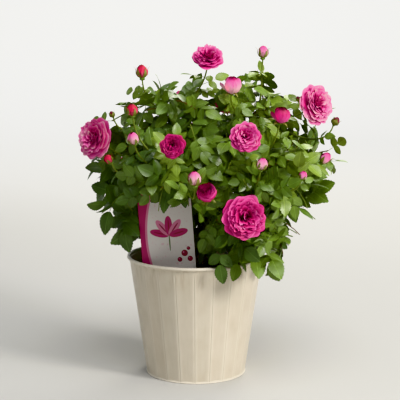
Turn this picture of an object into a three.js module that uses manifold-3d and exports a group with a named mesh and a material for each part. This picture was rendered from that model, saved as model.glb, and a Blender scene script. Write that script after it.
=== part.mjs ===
// A patio rose bush in a cream metal pot of 22 flats, with a plant label card.
// Millimetres, +Z up, the front towards -Y. The origin is the middle of the pot's flat underside.

import * as THREE from 'three';
import { mergeVertices } from 'three/addons/utils/BufferGeometryUtils.js';
import Module from 'manifold-3d';

const wasm = await Module();
wasm.setup();

// Driving sizes

const GAP = 0.3;                      // clearance between neighbouring pieces
const SMALLEST_EDGE = 0.01;

const POT_HEIGHT = 234.5;
const POT_RIM_RADIUS = 135;           // outside of the rolled rim
const POT_FOOT_RADIUS = 98.5;         // outside of the bead round the foot
const POT_WALL = 1.6;
const POT_FLATS = 22;
const FLAT_EDGE_TURN = -1.2;          // degrees from the front to the nearest edge between flats
const RIM_BEAD = 3.2;                 // radius of the rolled wire in the rim
const FOOT_BEAD = 1.3;

const COMPOST_TOP = POT_HEIGHT - 22;
const COMPOST_RISE = 5;               // how much the compost mounds up round the stem

const CARD = { width: 103, height: 172, thickness: 1.2, corner: 5 };
const CARD_FOOT = [-48.5, -75, 203.5];   // middle of the card's lower edge
const CARD_TURN = -9;                 // degrees about the upright
const CARD_LEAN = 4.4;                // degrees, its top towards the left
const CARD_SHOWS = { left: -108, right: 4, behind: -60, low: 228, high: 343, above: 40, clear: 24 };

const STOCK = { radius: 15, flare: 22, height: 40, sides: 12 };

const CROWN_MIDDLE = [40, 0, 402];
const CROWN_REACH = [248, 228, 186];
const CANE = { root: 4.6, tip: 3.3 };
const CANE_ENTERS = 0.56;             // a cane's share of the way to its mass's centre
const STEM = { root: 3.0, tip: 2.2, ends: 0.5 };
const TWIG = { count: 60, root: 2.5, tip: 2, ends: 0.74 };
const STALK = { root: 1.9, tip: 1.6 };
const LEAF = { stalk: 30, neck: 4, half: 1.1, ridge: 1.7, splay: 1.2, droop: 0.0022 };
const LEAF_APART = 12;                // least distance between the middles of leaflets
const LEAF_OVERHANG = 18;             // how far a leaf may reach over its mass's border
const LEAFLET = { length: 60, width: 42, thickness: 2, widest: 0.45, side: 0.86 };
const LEAF_SHARES = [1, 0.84, 0.68, 0.52];   // where the leaves stand along a twig
const LEAF_TRIES = 24;
const LEAF_SPREADS = [0.85, 1.5, 0.5];       // how far a leaf turns off its twig, try by try
const GOLDEN_TURN = Math.PI * (3 - Math.sqrt(5));
const GOLDEN_SHARE = 0.618;

// Rings of foliage: the turn of each mass from +X, its height, and where its cane leaves the rootstock

const RINGS = [
  { name: 'low', turns: [-60, 0, 60, 120, 180], height: 308, caneUp: 12, caneOut: 0.6 },
  { name: 'middle', turns: [-126, -54, 18, 90, 162], height: 425, caneUp: 22, caneOut: 0.6 },
  { name: 'top', turns: [-10, 170], height: 530, caneUp: 34, caneOut: 0.35 },
];

// Shoots that reach past the rounded crown, given by their tips

const SHOOT_TIPS = [
  [296, -50, 452], [262, -60, 372], [214, -118, 262], [152, -150, 222], [66, -176, 232],
  [-213, -55, 352], [-150, -62, 292], [-208, 30, 440], [-150, -40, 566], [60, 60, 596],
  [230, 110, 300], [-120, 150, 300], [36, -164, 300], [44, -150, 246],
];

const SHOOT_LEAF = 46;                // how far the last leaf reaches past its shoot

// Flowers: place, width across, the way each faces, and how far it has opened

const FLOWERS = [
  { at: [23, -60, 622], width: 60, faces: [0.0, -0.45, 0.9], form: 'open' },
  { at: [-190, -66, 470], width: 77, faces: [-0.7, -0.65, 0.2], form: 'open' },
  { at: [-41, -196, 470], width: 52, faces: [-0.05, -1, 0.12], form: 'open' },
  { at: [89, -196, 486], width: 60, faces: [0.05, -1, 0.3], form: 'open' },
  { at: [226, -66, 535], width: 74, faces: [0.62, -0.72, 0.25], form: 'open' },
  { at: [89, -196, 341], width: 86, faces: [0.22, -1, 0.12], form: 'open' },
  { at: [20, -212, 387], width: 33, faces: [-0.1, -0.8, 0.6], form: 'cup' },
  { at: [67, -112, 571], width: 40, faces: [0.15, -0.4, 0.9], form: 'cup' },
  { at: [157, -122, 517], width: 33, faces: [0.5, -0.3, 0.8], form: 'cup' },
  { at: [-101, -52, 592], width: 22, faces: [-0.05, 0, 1], form: 'bud' },
  { at: [-116, -122, 526], width: 20, faces: [-0.1, -0.2, 1], form: 'bud' },
  { at: [-113, -150, 477], width: 21, faces: [-0.2, -0.5, 0.8], form: 'bud' },
  { at: [-160, -120, 436], width: 16, faces: [-0.5, -0.3, 0.7], form: 'bud' },
  { at: [127, -32, 628], width: 20, faces: [0.05, 0, 1], form: 'bud' },
  { at: [266, -32, 498], width: 14, faces: [0.5, 0, 0.9], form: 'bud' },
  { at: [240, -100, 435], width: 20, faces: [0.5, -0.3, 0.7], form: 'bud' },
  { at: [194, -160, 411], width: 15, faces: [0.3, -0.3, 0.8], form: 'bud' },
  { at: [118, -196, 436], width: 20, faces: [0.2, -0.3, 0.9], form: 'bud' },
  { at: [-2, -214, 412], width: 23, faces: [-0.05, -0.2, 1], form: 'bud' },
  { at: [150, 186, 442], width: 72, faces: [0.5, 0.75, 0.35], form: 'open' },
  { at: [24, 218, 452], width: 78, faces: [0, 1, 0.15], form: 'open' },
  { at: [-92, 184, 452], width: 64, faces: [-0.5, 0.8, 0.3], form: 'open' },
  { at: [60, 186, 512], width: 56, faces: [0.05, 0.6, 0.8], form: 'open' },
  { at: [222, 130, 398], width: 62, faces: [0.85, 0.5, 0.2], form: 'open' },
  { at: [-138, 138, 380], width: 58, faces: [-0.8, 0.6, 0.2], form: 'cup' },
  { at: [118, 206, 362], width: 40, faces: [0.3, 0.9, 0.3], form: 'cup' },
  { at: [-60, 206, 400], width: 21, faces: [-0.2, 0.6, 0.8], form: 'bud' },
  { at: [192, 170, 352], width: 21, faces: [0.6, 0.6, 0.6], form: 'bud' },
  { at: [-34, 158, 530], width: 20, faces: [-0.1, 0.2, 1], form: 'bud' },
];

const PETAL_STAGGER = 0.9;            // turn from one ring of petals to the next

// Half profiles of the flowers from the foot of the calyx to the middle, in shares of the half width

const FLOWER_FORMS = {
  open: {
    sides: 10, petals: 5, wave: 0.07,
    profile: [[0, -0.56], [0.62, -0.32], [1, 0.02], [0.86, 0.16], [0.68, 0.07],
      [0.52, 0.25], [0.3, 0.13], [0.16, 0.25], [0, 0.17]],
  },
  cup: {
    sides: 8, petals: 4, wave: 0.06,
    profile: [[0, -1], [0.8, -0.4], [1, 0.4], [0.7, 0.62], [0, 0.5]],
  },
  bud: {
    sides: 6, petals: 3, wave: 0.05,
    profile: [[0, -1.25], [0.7, -0.8], [1, 0], [0.6, 0.75], [0, 1.15]],
  },
};

// Vectors, curves and a repeatable run of random numbers

const UP = new THREE.Vector3(0, 0, 1);
const CROWN_CENTRE = new THREE.Vector3(...CROWN_MIDDLE);
const FIRST_SEED = 2089;

let seedState = FIRST_SEED;

function random() {
  seedState = (seedState * 48271) % 2147483647;
  return seedState / 2147483647;
}

function vector(list) {
  return new THREE.Vector3(...list);
}

function radians(degrees) {
  return (degrees * Math.PI) / 180;
}

function smoothPath(start, control, end) {
  return new THREE.QuadraticBezierCurve3(start, control, end);
}

// How far out of the crown's middle a point lies: 1 is on the crown's surface

function crownShare(point) {
  const offset = point.clone().sub(CROWN_CENTRE);
  return offset.divide(vector(CROWN_REACH)).length();
}

function acrossOf(direction, turn) {
  const reference = Math.abs(direction.z) > 0.9 ? new THREE.Vector3(1, 0, 0) : UP;
  const side = new THREE.Vector3().crossVectors(direction, reference).normalize();
  return side.applyAxisAngle(direction, turn);
}

// From three.js geometry to a solid and back

function solidOf(geometry) {
  const bare = geometry.index ? geometry.toNonIndexed() : geometry.clone();
  bare.deleteAttribute('normal');
  bare.deleteAttribute('uv');
  const merged = mergeVertices(bare, 1e-4);
  const mesh = new wasm.Mesh({
    numProp: 3,
    vertProperties: new Float32Array(merged.attributes.position.array),
    triVerts: new Uint32Array(merged.index.array),
  });
  return new wasm.Manifold(mesh);
}

function geometryOf(solid) {
  const mesh = solid.getMesh();
  const geometry = new THREE.BufferGeometry();
  geometry.setAttribute('position', new THREE.BufferAttribute(mesh.vertProperties, 3));
  geometry.setIndex(new THREE.BufferAttribute(mesh.triVerts, 1));
  return geometry;
}

// The largest body of a solid: sealed hollows are filled and loose scraps dropped

function oneBody(solid) {
  const bodies = solid.simplify(SMALLEST_EDGE).decompose();
  return bodies.reduce((largest, body) => (body.volume() > largest.volume() ? body : largest));
}

// True where the faces still close up once the corners are rounded off to a ten-thousandth

function closesUp(solid) {
  const { vertProperties, triVerts } = solid.getMesh();
  const place = (index) => vertProperties.slice(index * 3, index * 3 + 3);
  const corner = (index) => place(index).map((value) => Math.round(value * 1e4)).join();
  const edges = new Set();
  for (let i = 0; i < triVerts.length; i += 3) {
    const names = [0, 1, 2].map((step) => corner(triVerts[i + step]));
    if (new Set(names).size === 3) {
      for (const [from, to] of [[0, 1], [1, 2], [2, 0]]) {
        const edge = `${names[from]}>${names[to]}`;
        if (edges.has(edge)) {
          return false;
        }
        edges.add(edge);
      }
    }
  }
  return [...edges].every((edge) => edges.has(edge.split('>').reverse().join('>')));
}

// Fuses solids one after another, and leaves out one that wouldn't join cleanly

function fuse(solids) {
  let body = solids[0];
  for (const solid of solids.slice(1)) {
    const joined = oneBody(body.add(solid));
    if (closesUp(joined)) {
      body = joined;
    }
  }
  return body;
}

// A tapering limb: a straight cylinder bent along a curve

function limbGeometry(path, rootRadius, tipRadius, sides, steps) {
  const geometry = new THREE.CylinderGeometry(tipRadius, rootRadius, 1, sides, steps);
  const frames = path.computeFrenetFrames(steps, false);
  const position = geometry.attributes.position;
  for (let i = 0; i < position.count; i += 1) {
    const step = Math.round((position.getY(i) + 0.5) * steps);
    const place = path.getPointAt(step / steps)
      .addScaledVector(frames.normals[step], position.getZ(i))
      .addScaledVector(frames.binormals[step], position.getX(i));
    position.setXYZ(i, place.x, place.y, place.z);
  }
  return geometry;
}

// The pot: sheet metal with 22 flats that fade out under the rolled rim

function potRadiusAt(height) {
  const foot = POT_FOOT_RADIUS - FOOT_BEAD;
  const top = POT_RIM_RADIUS - RIM_BEAD * 1.2;
  return foot + ((top - foot) * height) / POT_HEIGHT;
}

function latheUpright(points, sides) {
  const profile = points.map(([radius, height]) => new THREE.Vector2(radius, height));
  const geometry = new THREE.LatheGeometry(profile, sides);
  geometry.rotateX(Math.PI / 2);
  geometry.rotateZ(radians(FLAT_EDGE_TURN));
  return geometry;
}

// Pulls the point in the middle of each flat in, between two heights

function flatten(geometry, low, high) {
  const position = geometry.attributes.position;
  for (let i = 0; i < position.count; i += 1) {
    const height = position.getZ(i);
    const turn = Math.atan2(position.getY(i), position.getX(i)) + Math.PI / 2 - radians(FLAT_EDGE_TURN);
    const share = (turn / (2 * Math.PI)) * POT_FLATS;
    const middle = Math.abs(share - Math.floor(share) - 0.5) < 0.1;
    if (middle && height > low && height < high) {
      const pull = Math.cos(Math.PI / POT_FLATS);
      position.setXY(i, position.getX(i) * pull, position.getY(i) * pull);
    }
  }
  return geometry;
}

function potGeometry() {
  const top = POT_HEIGHT;
  const fade = top - 14;
  const bead = POT_RIM_RADIUS - RIM_BEAD;
  const outside = [
    [0, 0], [POT_FOOT_RADIUS - FOOT_BEAD, 0], [POT_FOOT_RADIUS, FOOT_BEAD],
    [potRadiusAt(5), 4], [potRadiusAt(fade), fade], [potRadiusAt(top - 8), top - 8],
  ];
  const rim = [200, 150, 90, 30, -30].map((turn) => [
    bead - RIM_BEAD * Math.cos(radians(turn)),
    top - RIM_BEAD + RIM_BEAD * Math.sin(radians(turn)),
  ]);
  const inside = [
    [potRadiusAt(top - 8) - POT_WALL, top - 8], [potRadiusAt(fade) - POT_WALL, fade],
    [potRadiusAt(3) - POT_WALL, 3], [0, 3],
  ];
  return flatten(latheUpright([...outside, ...rim, ...inside], 2 * POT_FLATS), 3.5, top - 10);
}

// The compost fills the pot to a little under the rim

function compostSolid(cardSlot) {
  const low = 3 + GAP;
  const edge = COMPOST_TOP - COMPOST_RISE;
  const inset = POT_WALL + GAP + 0.1;
  const profile = [
    [0, low], [potRadiusAt(low) - inset, low], [potRadiusAt(edge) - inset, edge],
    [60, COMPOST_TOP], [0, COMPOST_TOP],
  ];
  const fill = solidOf(latheUpright(profile, POT_FLATS));
  return fill.subtract(cardSlot);
}

// The label card, pushed into the compost inside the front of the rim

function cardGeometry(grow) {
  const halfWidth = CARD.width / 2 + grow;
  const bottom = -grow;
  const top = CARD.height + grow;
  const corner = CARD.corner;
  const outline = new THREE.Shape();
  outline.moveTo(-halfWidth, bottom);
  outline.lineTo(halfWidth, bottom);
  outline.lineTo(halfWidth, top - corner);
  outline.absarc(halfWidth - corner, top - corner, corner, 0, Math.PI / 2);
  outline.lineTo(-halfWidth + corner, top);
  outline.absarc(-halfWidth + corner, top - corner, corner, Math.PI / 2, Math.PI);
  const depth = CARD.thickness + 2 * grow;
  const geometry = new THREE.ExtrudeGeometry(outline, { depth, bevelEnabled: false, curveSegments: 3 });
  geometry.translate(0, 0, -depth / 2);
  geometry.rotateZ(radians(CARD_LEAN));
  geometry.rotateX(Math.PI / 2);
  geometry.rotateZ(radians(CARD_TURN));
  geometry.translate(...CARD_FOOT);
  return geometry;
}

// The rootstock: a short flared stem with a knobbly head that all canes spring from

function stockGeometry(grow) {
  const foot = COMPOST_TOP + GAP;
  const { radius, flare, height } = STOCK;
  const profile = [
    [0, foot - grow],
    [flare + grow, foot - grow],
    [flare * 0.82 + grow, foot + 5],
    [radius + grow, foot + 16],
    [radius * 1.08 + grow, foot + 26],
    [radius * 0.95 + grow, foot + 34],
    [radius * 0.6 + grow, foot + height - 2 + grow],
    [0, foot + height + grow],
  ];
  return latheUpright(profile, STOCK.sides);
}

// The masses of foliage, each with its own space round its centre

function buildMasses() {
  const masses = [];
  for (const ring of RINGS) {
    ring.turns.forEach((turn, index) => {
      const rise = (ring.height - CROWN_MIDDLE[2]) / CROWN_REACH[2];
      const level = Math.sqrt(1 - rise * rise) * STEM.ends;
      const centre = new THREE.Vector3(
        CROWN_MIDDLE[0] + Math.cos(radians(turn)) * CROWN_REACH[0] * level,
        CROWN_MIDDLE[1] + Math.sin(radians(turn)) * CROWN_REACH[1] * level,
        ring.height,
      );
      masses.push({ name: `${ring.name}_${index + 1}`, ring, turn, centre, solids: [], leaves: [] });
    });
  }
  return masses;
}

function nearestMass(point) {
  const byDistance = (a, b) => a.centre.distanceTo(point) - b.centre.distanceTo(point);
  return [...masses].sort(byDistance)[0];
}

// True where a point lies in a mass's own space, at least a margin from every neighbour's

function inOwnSpace(mass, point, margin) {
  return masses.every((other) => {
    if (other === mass) {
      return true;
    }
    const across = other.centre.clone().sub(mass.centre);
    const halfway = across.length() / 2;
    return point.clone().sub(mass.centre).dot(across.normalize()) < halfway - margin;
  });
}

// Canes rise from the rootstock and end where they enter their mass

function caneFoot(mass) {
  const out = STOCK.radius * mass.ring.caneOut;
  const turn = radians(mass.turn);
  return new THREE.Vector3(Math.cos(turn) * out, Math.sin(turn) * out, COMPOST_TOP + mass.ring.caneUp);
}

function caneEnd(mass) {
  const foot = caneFoot(mass);
  return foot.lerp(mass.centre, CANE_ENTERS);
}

function planCane(mass) {
  const foot = caneFoot(mass);
  const end = caneEnd(mass);
  const run = end.distanceTo(foot);
  const rise = foot.clone().lerp(end, 0.45).addScaledVector(UP, run * 0.12);
  mass.cane = smoothPath(foot, rise, end);
  const onward = mass.cane.getTangent(1);
  const stemRoot = end.clone().addScaledVector(onward, GAP);
  const bend = stemRoot.clone().addScaledVector(onward, stemRoot.distanceTo(mass.centre) * 0.5);
  mass.stem = smoothPath(stemRoot, bend, mass.centre.clone());
}

// What leaves and twigs keep clear of: canes, the flowers and their stalks, the card and the pot

const obstacles = [];

function addObstacle(path, radius, owner) {
  const steps = 10;
  for (let i = 0; i < steps; i += 1) {
    obstacles.push({ from: path.getPoint(i / steps), to: path.getPoint((i + 1) / steps), radius, owner });
  }
}

function clearOfObstacles(point, margin, owner) {
  const nearest = new THREE.Vector3();
  const line = new THREE.Line3();
  return obstacles.every((obstacle) => {
    if (owner && obstacle.owner === owner) {
      return true;
    }
    line.set(obstacle.from, obstacle.to).closestPointToPoint(point, true, nearest);
    return nearest.distanceTo(point) > obstacle.radius + margin;
  });
}

function clearOfPotAndCard(point, margin) {
  const out = Math.hypot(point.x, point.y);
  const overRim = out > POT_RIM_RADIUS + margin || point.z > POT_HEIGHT + margin;
  const inPot = out < potRadiusAt(point.z) - 8 - margin && point.z > COMPOST_TOP + margin;
  const { left, right, behind, low, high } = CARD_SHOWS;
  const hidesCard = point.x > left && point.x < right && point.y < behind && point.z > low && point.z < high;
  const overCard = point.x > left && point.x < right && point.z < high + CARD_SHOWS.above;
  const atCard = overCard && Math.abs(point.y - CARD_FOOT[1]) < CARD_SHOWS.clear;
  return (overRim || inPot) && !hidesCard && !atCard;
}

function clearPoint(mass, point, inside, margin, wholeCrown) {
  return inOwnSpace(mass, point, inside)
    && (wholeCrown || crownShare(point) < 1)
    && clearOfPotAndCard(point, 3)
    && clearOfObstacles(point, margin, mass);
}

// Flowers on their stalks

function flowerGeometry(flower) {
  const form = FLOWER_FORMS[flower.form];
  const half = flower.width / 2;
  const points = form.profile.map(([out, along]) => new THREE.Vector2(out * half, along * half));
  const geometry = new THREE.LatheGeometry(points, form.sides);
  const position = geometry.attributes.position;
  for (let i = 0; i < position.count; i += 1) {
    const out = Math.hypot(position.getX(i), position.getZ(i));
    const turn = Math.atan2(position.getZ(i), position.getX(i));
    const phase = Math.round((out / flower.width) * 8) * PETAL_STAGGER;
    const wave = 1 + form.wave * Math.cos(form.petals * turn + phase);
    position.setXYZ(i, position.getX(i) * wave, position.getY(i), position.getZ(i) * wave);
  }
  const facing = vector(flower.faces).normalize();
  geometry.applyQuaternion(new THREE.Quaternion().setFromUnitVectors(new THREE.Vector3(0, 1, 0), facing));
  geometry.translate(...flower.at);
  return geometry;
}

function planFlower(flower) {
  const at = vector(flower.at);
  const facing = vector(flower.faces).normalize();
  const mass = nearestMass(at);
  const calyx = FLOWER_FORMS[flower.form].profile[1][1] * flower.width / 2;
  const end = at.clone().addScaledVector(facing, calyx * 0.8);
  const start = mass.stem.getPoint(0.82);
  const run = end.distanceTo(start);
  const control = end.clone().addScaledVector(facing, -run * 0.4);
  flower.mass = mass;
  flower.stalk = smoothPath(start, control, end);
  addObstacle(flower.stalk, STALK.root, mass);
  obstacles.push({ from: at, to: at, radius: flower.width / 2, owner: null });
}

function addFlower(flower) {
  const { mass, stalk } = flower;
  grow(mass.solids, solidOf(limbGeometry(stalk, STALK.root, STALK.tip, 3, 3)));
  grow(mass.solids, solidOf(flowerGeometry(flower)));
}

// A leaf is one thin solid: a ridged stalk with a leaflet at its end and a pair at its sides

function leafletCorners(base, turn, length, width) {
  const along = new THREE.Vector2(Math.cos(turn), Math.sin(turn));
  const across = new THREE.Vector2(-along.y, along.x);
  const place = (out, side) => base.clone().addScaledVector(along, out).addScaledVector(across, side);
  const middle = length * LEAFLET.widest;
  return {
    near: place(middle, -width / 2),
    tip: place(length, 0),
    far: place(middle, width / 2),
    rib: place(middle, 0),
  };
}

function planLeafShape() {
  const { stalk, neck, half, splay, droop, ridge } = LEAF;
  const { length, width, thickness, side } = LEAFLET;
  const right = leafletCorners(new THREE.Vector2(stalk, -half), -splay, length * side, width * side);
  const end = leafletCorners(new THREE.Vector2(stalk + neck, 0), 0, length, width);
  const fall = (point, rise) => [point.x, point.y, rise - droop * Math.hypot(point.x - stalk, point.y) ** 2];
  const mirror = ([x, y, z]) => [x, -y, z];
  const rightSide = [
    [0, -half, 0], [stalk - neck, -half, 0],
    fall(right.near, 0), fall(right.tip, 0), fall(right.far, 0),
    [stalk + neck, -half, 0], fall(end.near, 0),
  ];
  const leftSide = rightSide.map(mirror).reverse();
  const outline = [...rightSide, fall(end.tip, 0), ...leftSide];
  const ribs = [
    [0, 0, ridge], [stalk, 0, ridge], fall(right.rib, thickness),
    mirror(fall(right.rib, thickness)), fall(end.rib, thickness),
  ];
  const root = 15;
  const fork = 16;
  const [rightRib, leftRib, endRib] = [17, 18, 19];
  const next = (ring, index) => ring[(index + 1) % ring.length];
  const fan = (rib, ring) => ring.map((corner, index) => [rib, corner, next(ring, index)]);
  const under = (ring) => ring.slice(1, -1).map((corner, index) => [ring[0], ring[index + 2], corner]);
  const faces = [
    [0, 1, fork], [0, fork, root], [fork, 13, 14], [root, fork, 14], [14, 0, root],
    ...fan(rightRib, [1, 2, 3, 4, 5, fork]),
    ...fan(leftRib, [9, 10, 11, 12, 13, fork]),
    ...fan(endRib, [5, 6, 7, 8, 9, fork]),
    ...under([0, 1, 13, 14]), ...under([1, 5, 9, 13]),
    ...under([3, 4, 5, 1, 2]), ...under([11, 12, 13, 9, 10]), ...under([7, 8, 9, 5, 6]),
  ];
  return { corners: [...outline, ...ribs].map(vector), faces, middles: [rightRib, leftRib, endRib] };
}

function leafSolid(places) {
  const geometry = new THREE.BufferGeometry();
  const corners = leafShape.faces.flatMap((face) => face.flatMap((corner) => places[corner].toArray()));
  geometry.setAttribute('position', new THREE.BufferAttribute(new Float32Array(corners), 3));
  return solidOf(geometry);
}

function planLeaf(root, direction, outward, spread, spin) {
  const tilt = acrossOf(outward, spin);
  tilt.z -= 0.25;
  const along = direction.clone().multiplyScalar(0.25)
    .addScaledVector(outward, 0.3)
    .addScaledVector(tilt, spread)
    .normalize();
  const facing = outward.clone().multiplyScalar(0.8).addScaledVector(UP, 0.55);
  const normal = facing.addScaledVector(along, -facing.dot(along)).normalize();
  const across = new THREE.Vector3().crossVectors(normal, along).normalize();
  return leafShape.corners.map((corner) => root.clone()
    .addScaledVector(along, corner.x)
    .addScaledVector(across, corner.y)
    .addScaledVector(normal, corner.z));
}

function leafIsClear(mass, places, wholeCrown) {
  const middles = leafShape.middles.map((index) => places[index]);
  const spots = places.slice(1, 14).concat(places.slice(16));
  for (const middle of middles) {
    for (const corner of places.slice(2, 13)) {
      if (corner.distanceTo(middle) < LEAFLET.length * 0.7) {
        spots.push(corner.clone().lerp(middle, 0.5));
      }
    }
  }
  const isApart = (middle) => leafMiddles.every((other) => other.distanceTo(middle) > LEAF_APART);
  const apart = middles.every(isApart);
  return apart && spots.every((spot) => clearPoint(mass, spot, -LEAF_OVERHANG, 5, wholeCrown));
}

// Every solid of the foliage with its box, so that a new leaf crosses none of them

const grown = [];

function boxOf(solid) {
  const { min, max } = solid.boundingBox();
  return new THREE.Box3(new THREE.Vector3(...min), new THREE.Vector3(...max));
}

function grow(list, solid) {
  list.push(solid);
  grown.push({ solid, box: boxOf(solid) });
}

function crossesAnother(solid, ownTwig) {
  const box = boxOf(solid).expandByScalar(GAP);
  return grown.some((other) => other.solid !== ownTwig
    && box.intersectsBox(other.box)
    && !solid.intersect(other.solid).isEmpty());
}

// Turns a leaf until it fits, or leaves it out

function addLeaf(twig, share, firstSpin) {
  const { mass, path, outward, solid: ownTwig, wholeCrown } = twig;
  const root = path.getPoint(share);
  const direction = path.getTangent(share);
  for (let attempt = 0; attempt < LEAF_TRIES; attempt += 1) {
    const spread = LEAF_SPREADS[attempt % LEAF_SPREADS.length];
    const places = planLeaf(root, direction, outward, spread, firstSpin + attempt * GOLDEN_TURN);
    if (leafIsClear(mass, places, wholeCrown)) {
      const solid = leafSolid(places);
      if (!crossesAnother(solid, ownTwig)) {
        grow(mass.leaves, solid);
        twig.leaves += 1;
        leafMiddles.push(...leafShape.middles.map((index) => places[index]));
        return;
      }
    }
  }
}

// A twig from the mass's stem out to a place near the crown's surface, with its leaves

function growTwig(mass, end, order, wholeCrown) {
  const share = 0.25 + 0.7 * ((order * GOLDEN_SHARE) % 1);
  const start = mass.stem.getPoint(share);
  const onward = mass.stem.getTangent(share);
  const run = end.distanceTo(start);
  const path = smoothPath(start, start.clone().addScaledVector(onward, run * 0.45), end);
  const spots = [0.3, 0.5, 0.7, 0.85, 1].map((along) => path.getPoint(along));
  if (!spots.every((spot) => clearPoint(mass, spot, TWIG.root + 1, 3, wholeCrown))) {
    return;
  }
  const solid = solidOf(limbGeometry(path, TWIG.root, TWIG.tip, 3, 2));
  const outward = end.clone().sub(CROWN_CENTRE).divide(vector(CROWN_REACH)).normalize();
  grown.push({ solid, box: boxOf(solid) });
  twigs.push({ mass, path, outward, solid, wholeCrown, leaves: 0 });
}

function growLeaves() {
  twigs.forEach((twig, order) => {
    LEAF_SHARES.forEach((share, index) => {
      const spin = (order * LEAF_SHARES.length + index) * GOLDEN_TURN + random();
      addLeaf(twig, share, spin);
    });
    if (twig.leaves > 0) {
      twig.mass.solids.push(twig.solid);
    }
  });
}

function growTwigs() {
  for (let order = 0; order < TWIG.count; order += 1) {
    const height = 1 - (2 * (order + 0.5)) / TWIG.count;
    const level = Math.sqrt(1 - height * height);
    const turn = order * GOLDEN_TURN;
    const share = TWIG.ends * (0.92 + 0.16 * random());
    const end = new THREE.Vector3(Math.cos(turn) * level, Math.sin(turn) * level, height)
      .multiply(vector(CROWN_REACH))
      .multiplyScalar(share)
      .add(CROWN_CENTRE);
    growTwig(nearestMass(end), end, order, false);
  }
  SHOOT_TIPS.forEach((tip, index) => {
    const end = vector(tip);
    const inward = CROWN_CENTRE.clone().sub(end).normalize();
    growTwig(nearestMass(end), end.addScaledVector(inward, SHOOT_LEAF), index, true);
  });
}

// Everything together

const looks = {
  pot: { color: 0xc8bca8, roughness: 0.5, metalness: 0.1 },
  compost: { color: 0x2e231b, roughness: 1, metalness: 0 },
  card: { color: 0xe9e3dc, roughness: 0.6, metalness: 0 },
  wood: { color: 0x6b5a3c, roughness: 0.85, metalness: 0 },
  cane: { color: 0x5f7034, roughness: 0.7, metalness: 0 },
  foliage: { color: 0x4f6a22, roughness: 0.6, metalness: 0 },
};

const rose = new THREE.Group();

function addPiece(name, solid, look) {
  const piece = new THREE.Mesh(geometryOf(solid), new THREE.MeshStandardMaterial(look));
  piece.name = name;
  rose.add(piece);
}

const twigs = [];
const leafMiddles = [];
const leafShape = planLeafShape();
const masses = buildMasses();
masses.forEach(planCane);
for (const mass of masses) {
  addObstacle(mass.cane, CANE.root, null);
}
for (const mass of masses) {
  addObstacle(mass.stem, STEM.root, mass);
}
FLOWERS.forEach(planFlower);

addPiece('pot', solidOf(potGeometry()), looks.pot);
addPiece('compost', compostSolid(solidOf(cardGeometry(GAP))), looks.compost);
addPiece('label_card', solidOf(cardGeometry(0)), looks.card);
addPiece('rootstock', solidOf(stockGeometry(0)), looks.wood);

const roundStock = solidOf(stockGeometry(GAP));
for (const mass of masses) {
  const cane = solidOf(limbGeometry(mass.cane, CANE.root, CANE.tip, 5, 4));
  addPiece(`cane_${mass.name}`, cane.subtract(roundStock), looks.cane);
  grow(mass.solids, solidOf(limbGeometry(mass.stem, STEM.root, STEM.tip, 4, 2)));
}

FLOWERS.forEach(addFlower);
growTwigs();
growLeaves();
for (const mass of masses) {
  addPiece(`foliage_${mass.name}`, fuse([...mass.solids, ...mass.leaves]), looks.foliage);
}

export default rose;
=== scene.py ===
# A patio rose bush in a cream metal pot, dressed round its construction model.
# Metres, +Z up, the front towards -Y. The origin is the middle of the pot's flat underside.

import math

import bmesh
import bpy
import numpy as np
from mathutils import Euler, Matrix, Vector, noise


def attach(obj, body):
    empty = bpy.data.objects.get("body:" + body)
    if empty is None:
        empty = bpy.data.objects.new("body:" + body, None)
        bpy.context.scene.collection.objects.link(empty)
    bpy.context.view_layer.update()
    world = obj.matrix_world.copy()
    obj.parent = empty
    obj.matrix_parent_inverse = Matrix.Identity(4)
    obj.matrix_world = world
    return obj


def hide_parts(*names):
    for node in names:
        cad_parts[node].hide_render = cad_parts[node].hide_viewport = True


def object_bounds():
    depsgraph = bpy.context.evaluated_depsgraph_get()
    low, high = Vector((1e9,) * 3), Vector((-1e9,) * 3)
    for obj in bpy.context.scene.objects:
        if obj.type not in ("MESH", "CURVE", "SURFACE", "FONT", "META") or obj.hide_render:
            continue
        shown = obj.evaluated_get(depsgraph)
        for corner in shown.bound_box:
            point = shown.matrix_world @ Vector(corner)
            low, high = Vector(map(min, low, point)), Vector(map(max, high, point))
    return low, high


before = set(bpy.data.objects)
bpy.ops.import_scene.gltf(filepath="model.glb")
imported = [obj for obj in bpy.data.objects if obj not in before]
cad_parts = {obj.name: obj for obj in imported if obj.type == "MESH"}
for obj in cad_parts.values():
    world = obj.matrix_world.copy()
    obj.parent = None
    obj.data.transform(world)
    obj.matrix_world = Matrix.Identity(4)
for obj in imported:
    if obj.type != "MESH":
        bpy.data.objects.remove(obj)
construction_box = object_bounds()
bpy.ops.object.select_all(action="DESELECT")


# The view: a camera 2.3 m in front of the pot and 0.7 m up, which looks a little down on it, and a
# plain, pale floor that curves up far out all round, so that no horizon shows. The floor is painted
# paler further out, as painted light where the lamps reach it less. Soft lamps hang overhead, behind and
# at the right, where the daylight comes from, and one more washes the back wall.

CAMERA_PLACE = (0.008, -2.343, 0.714)
CAMERA_PITCH = math.radians(9.03)
CAMERA_LENS = 109.5
FLOOR_FLAT = 4.2
FLOOR_CURVE = 2.4
FLOOR_CURVE_END = 82
FLOOR_CURVE_STEP = 4
FLOOR_SIDES = 96
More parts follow.
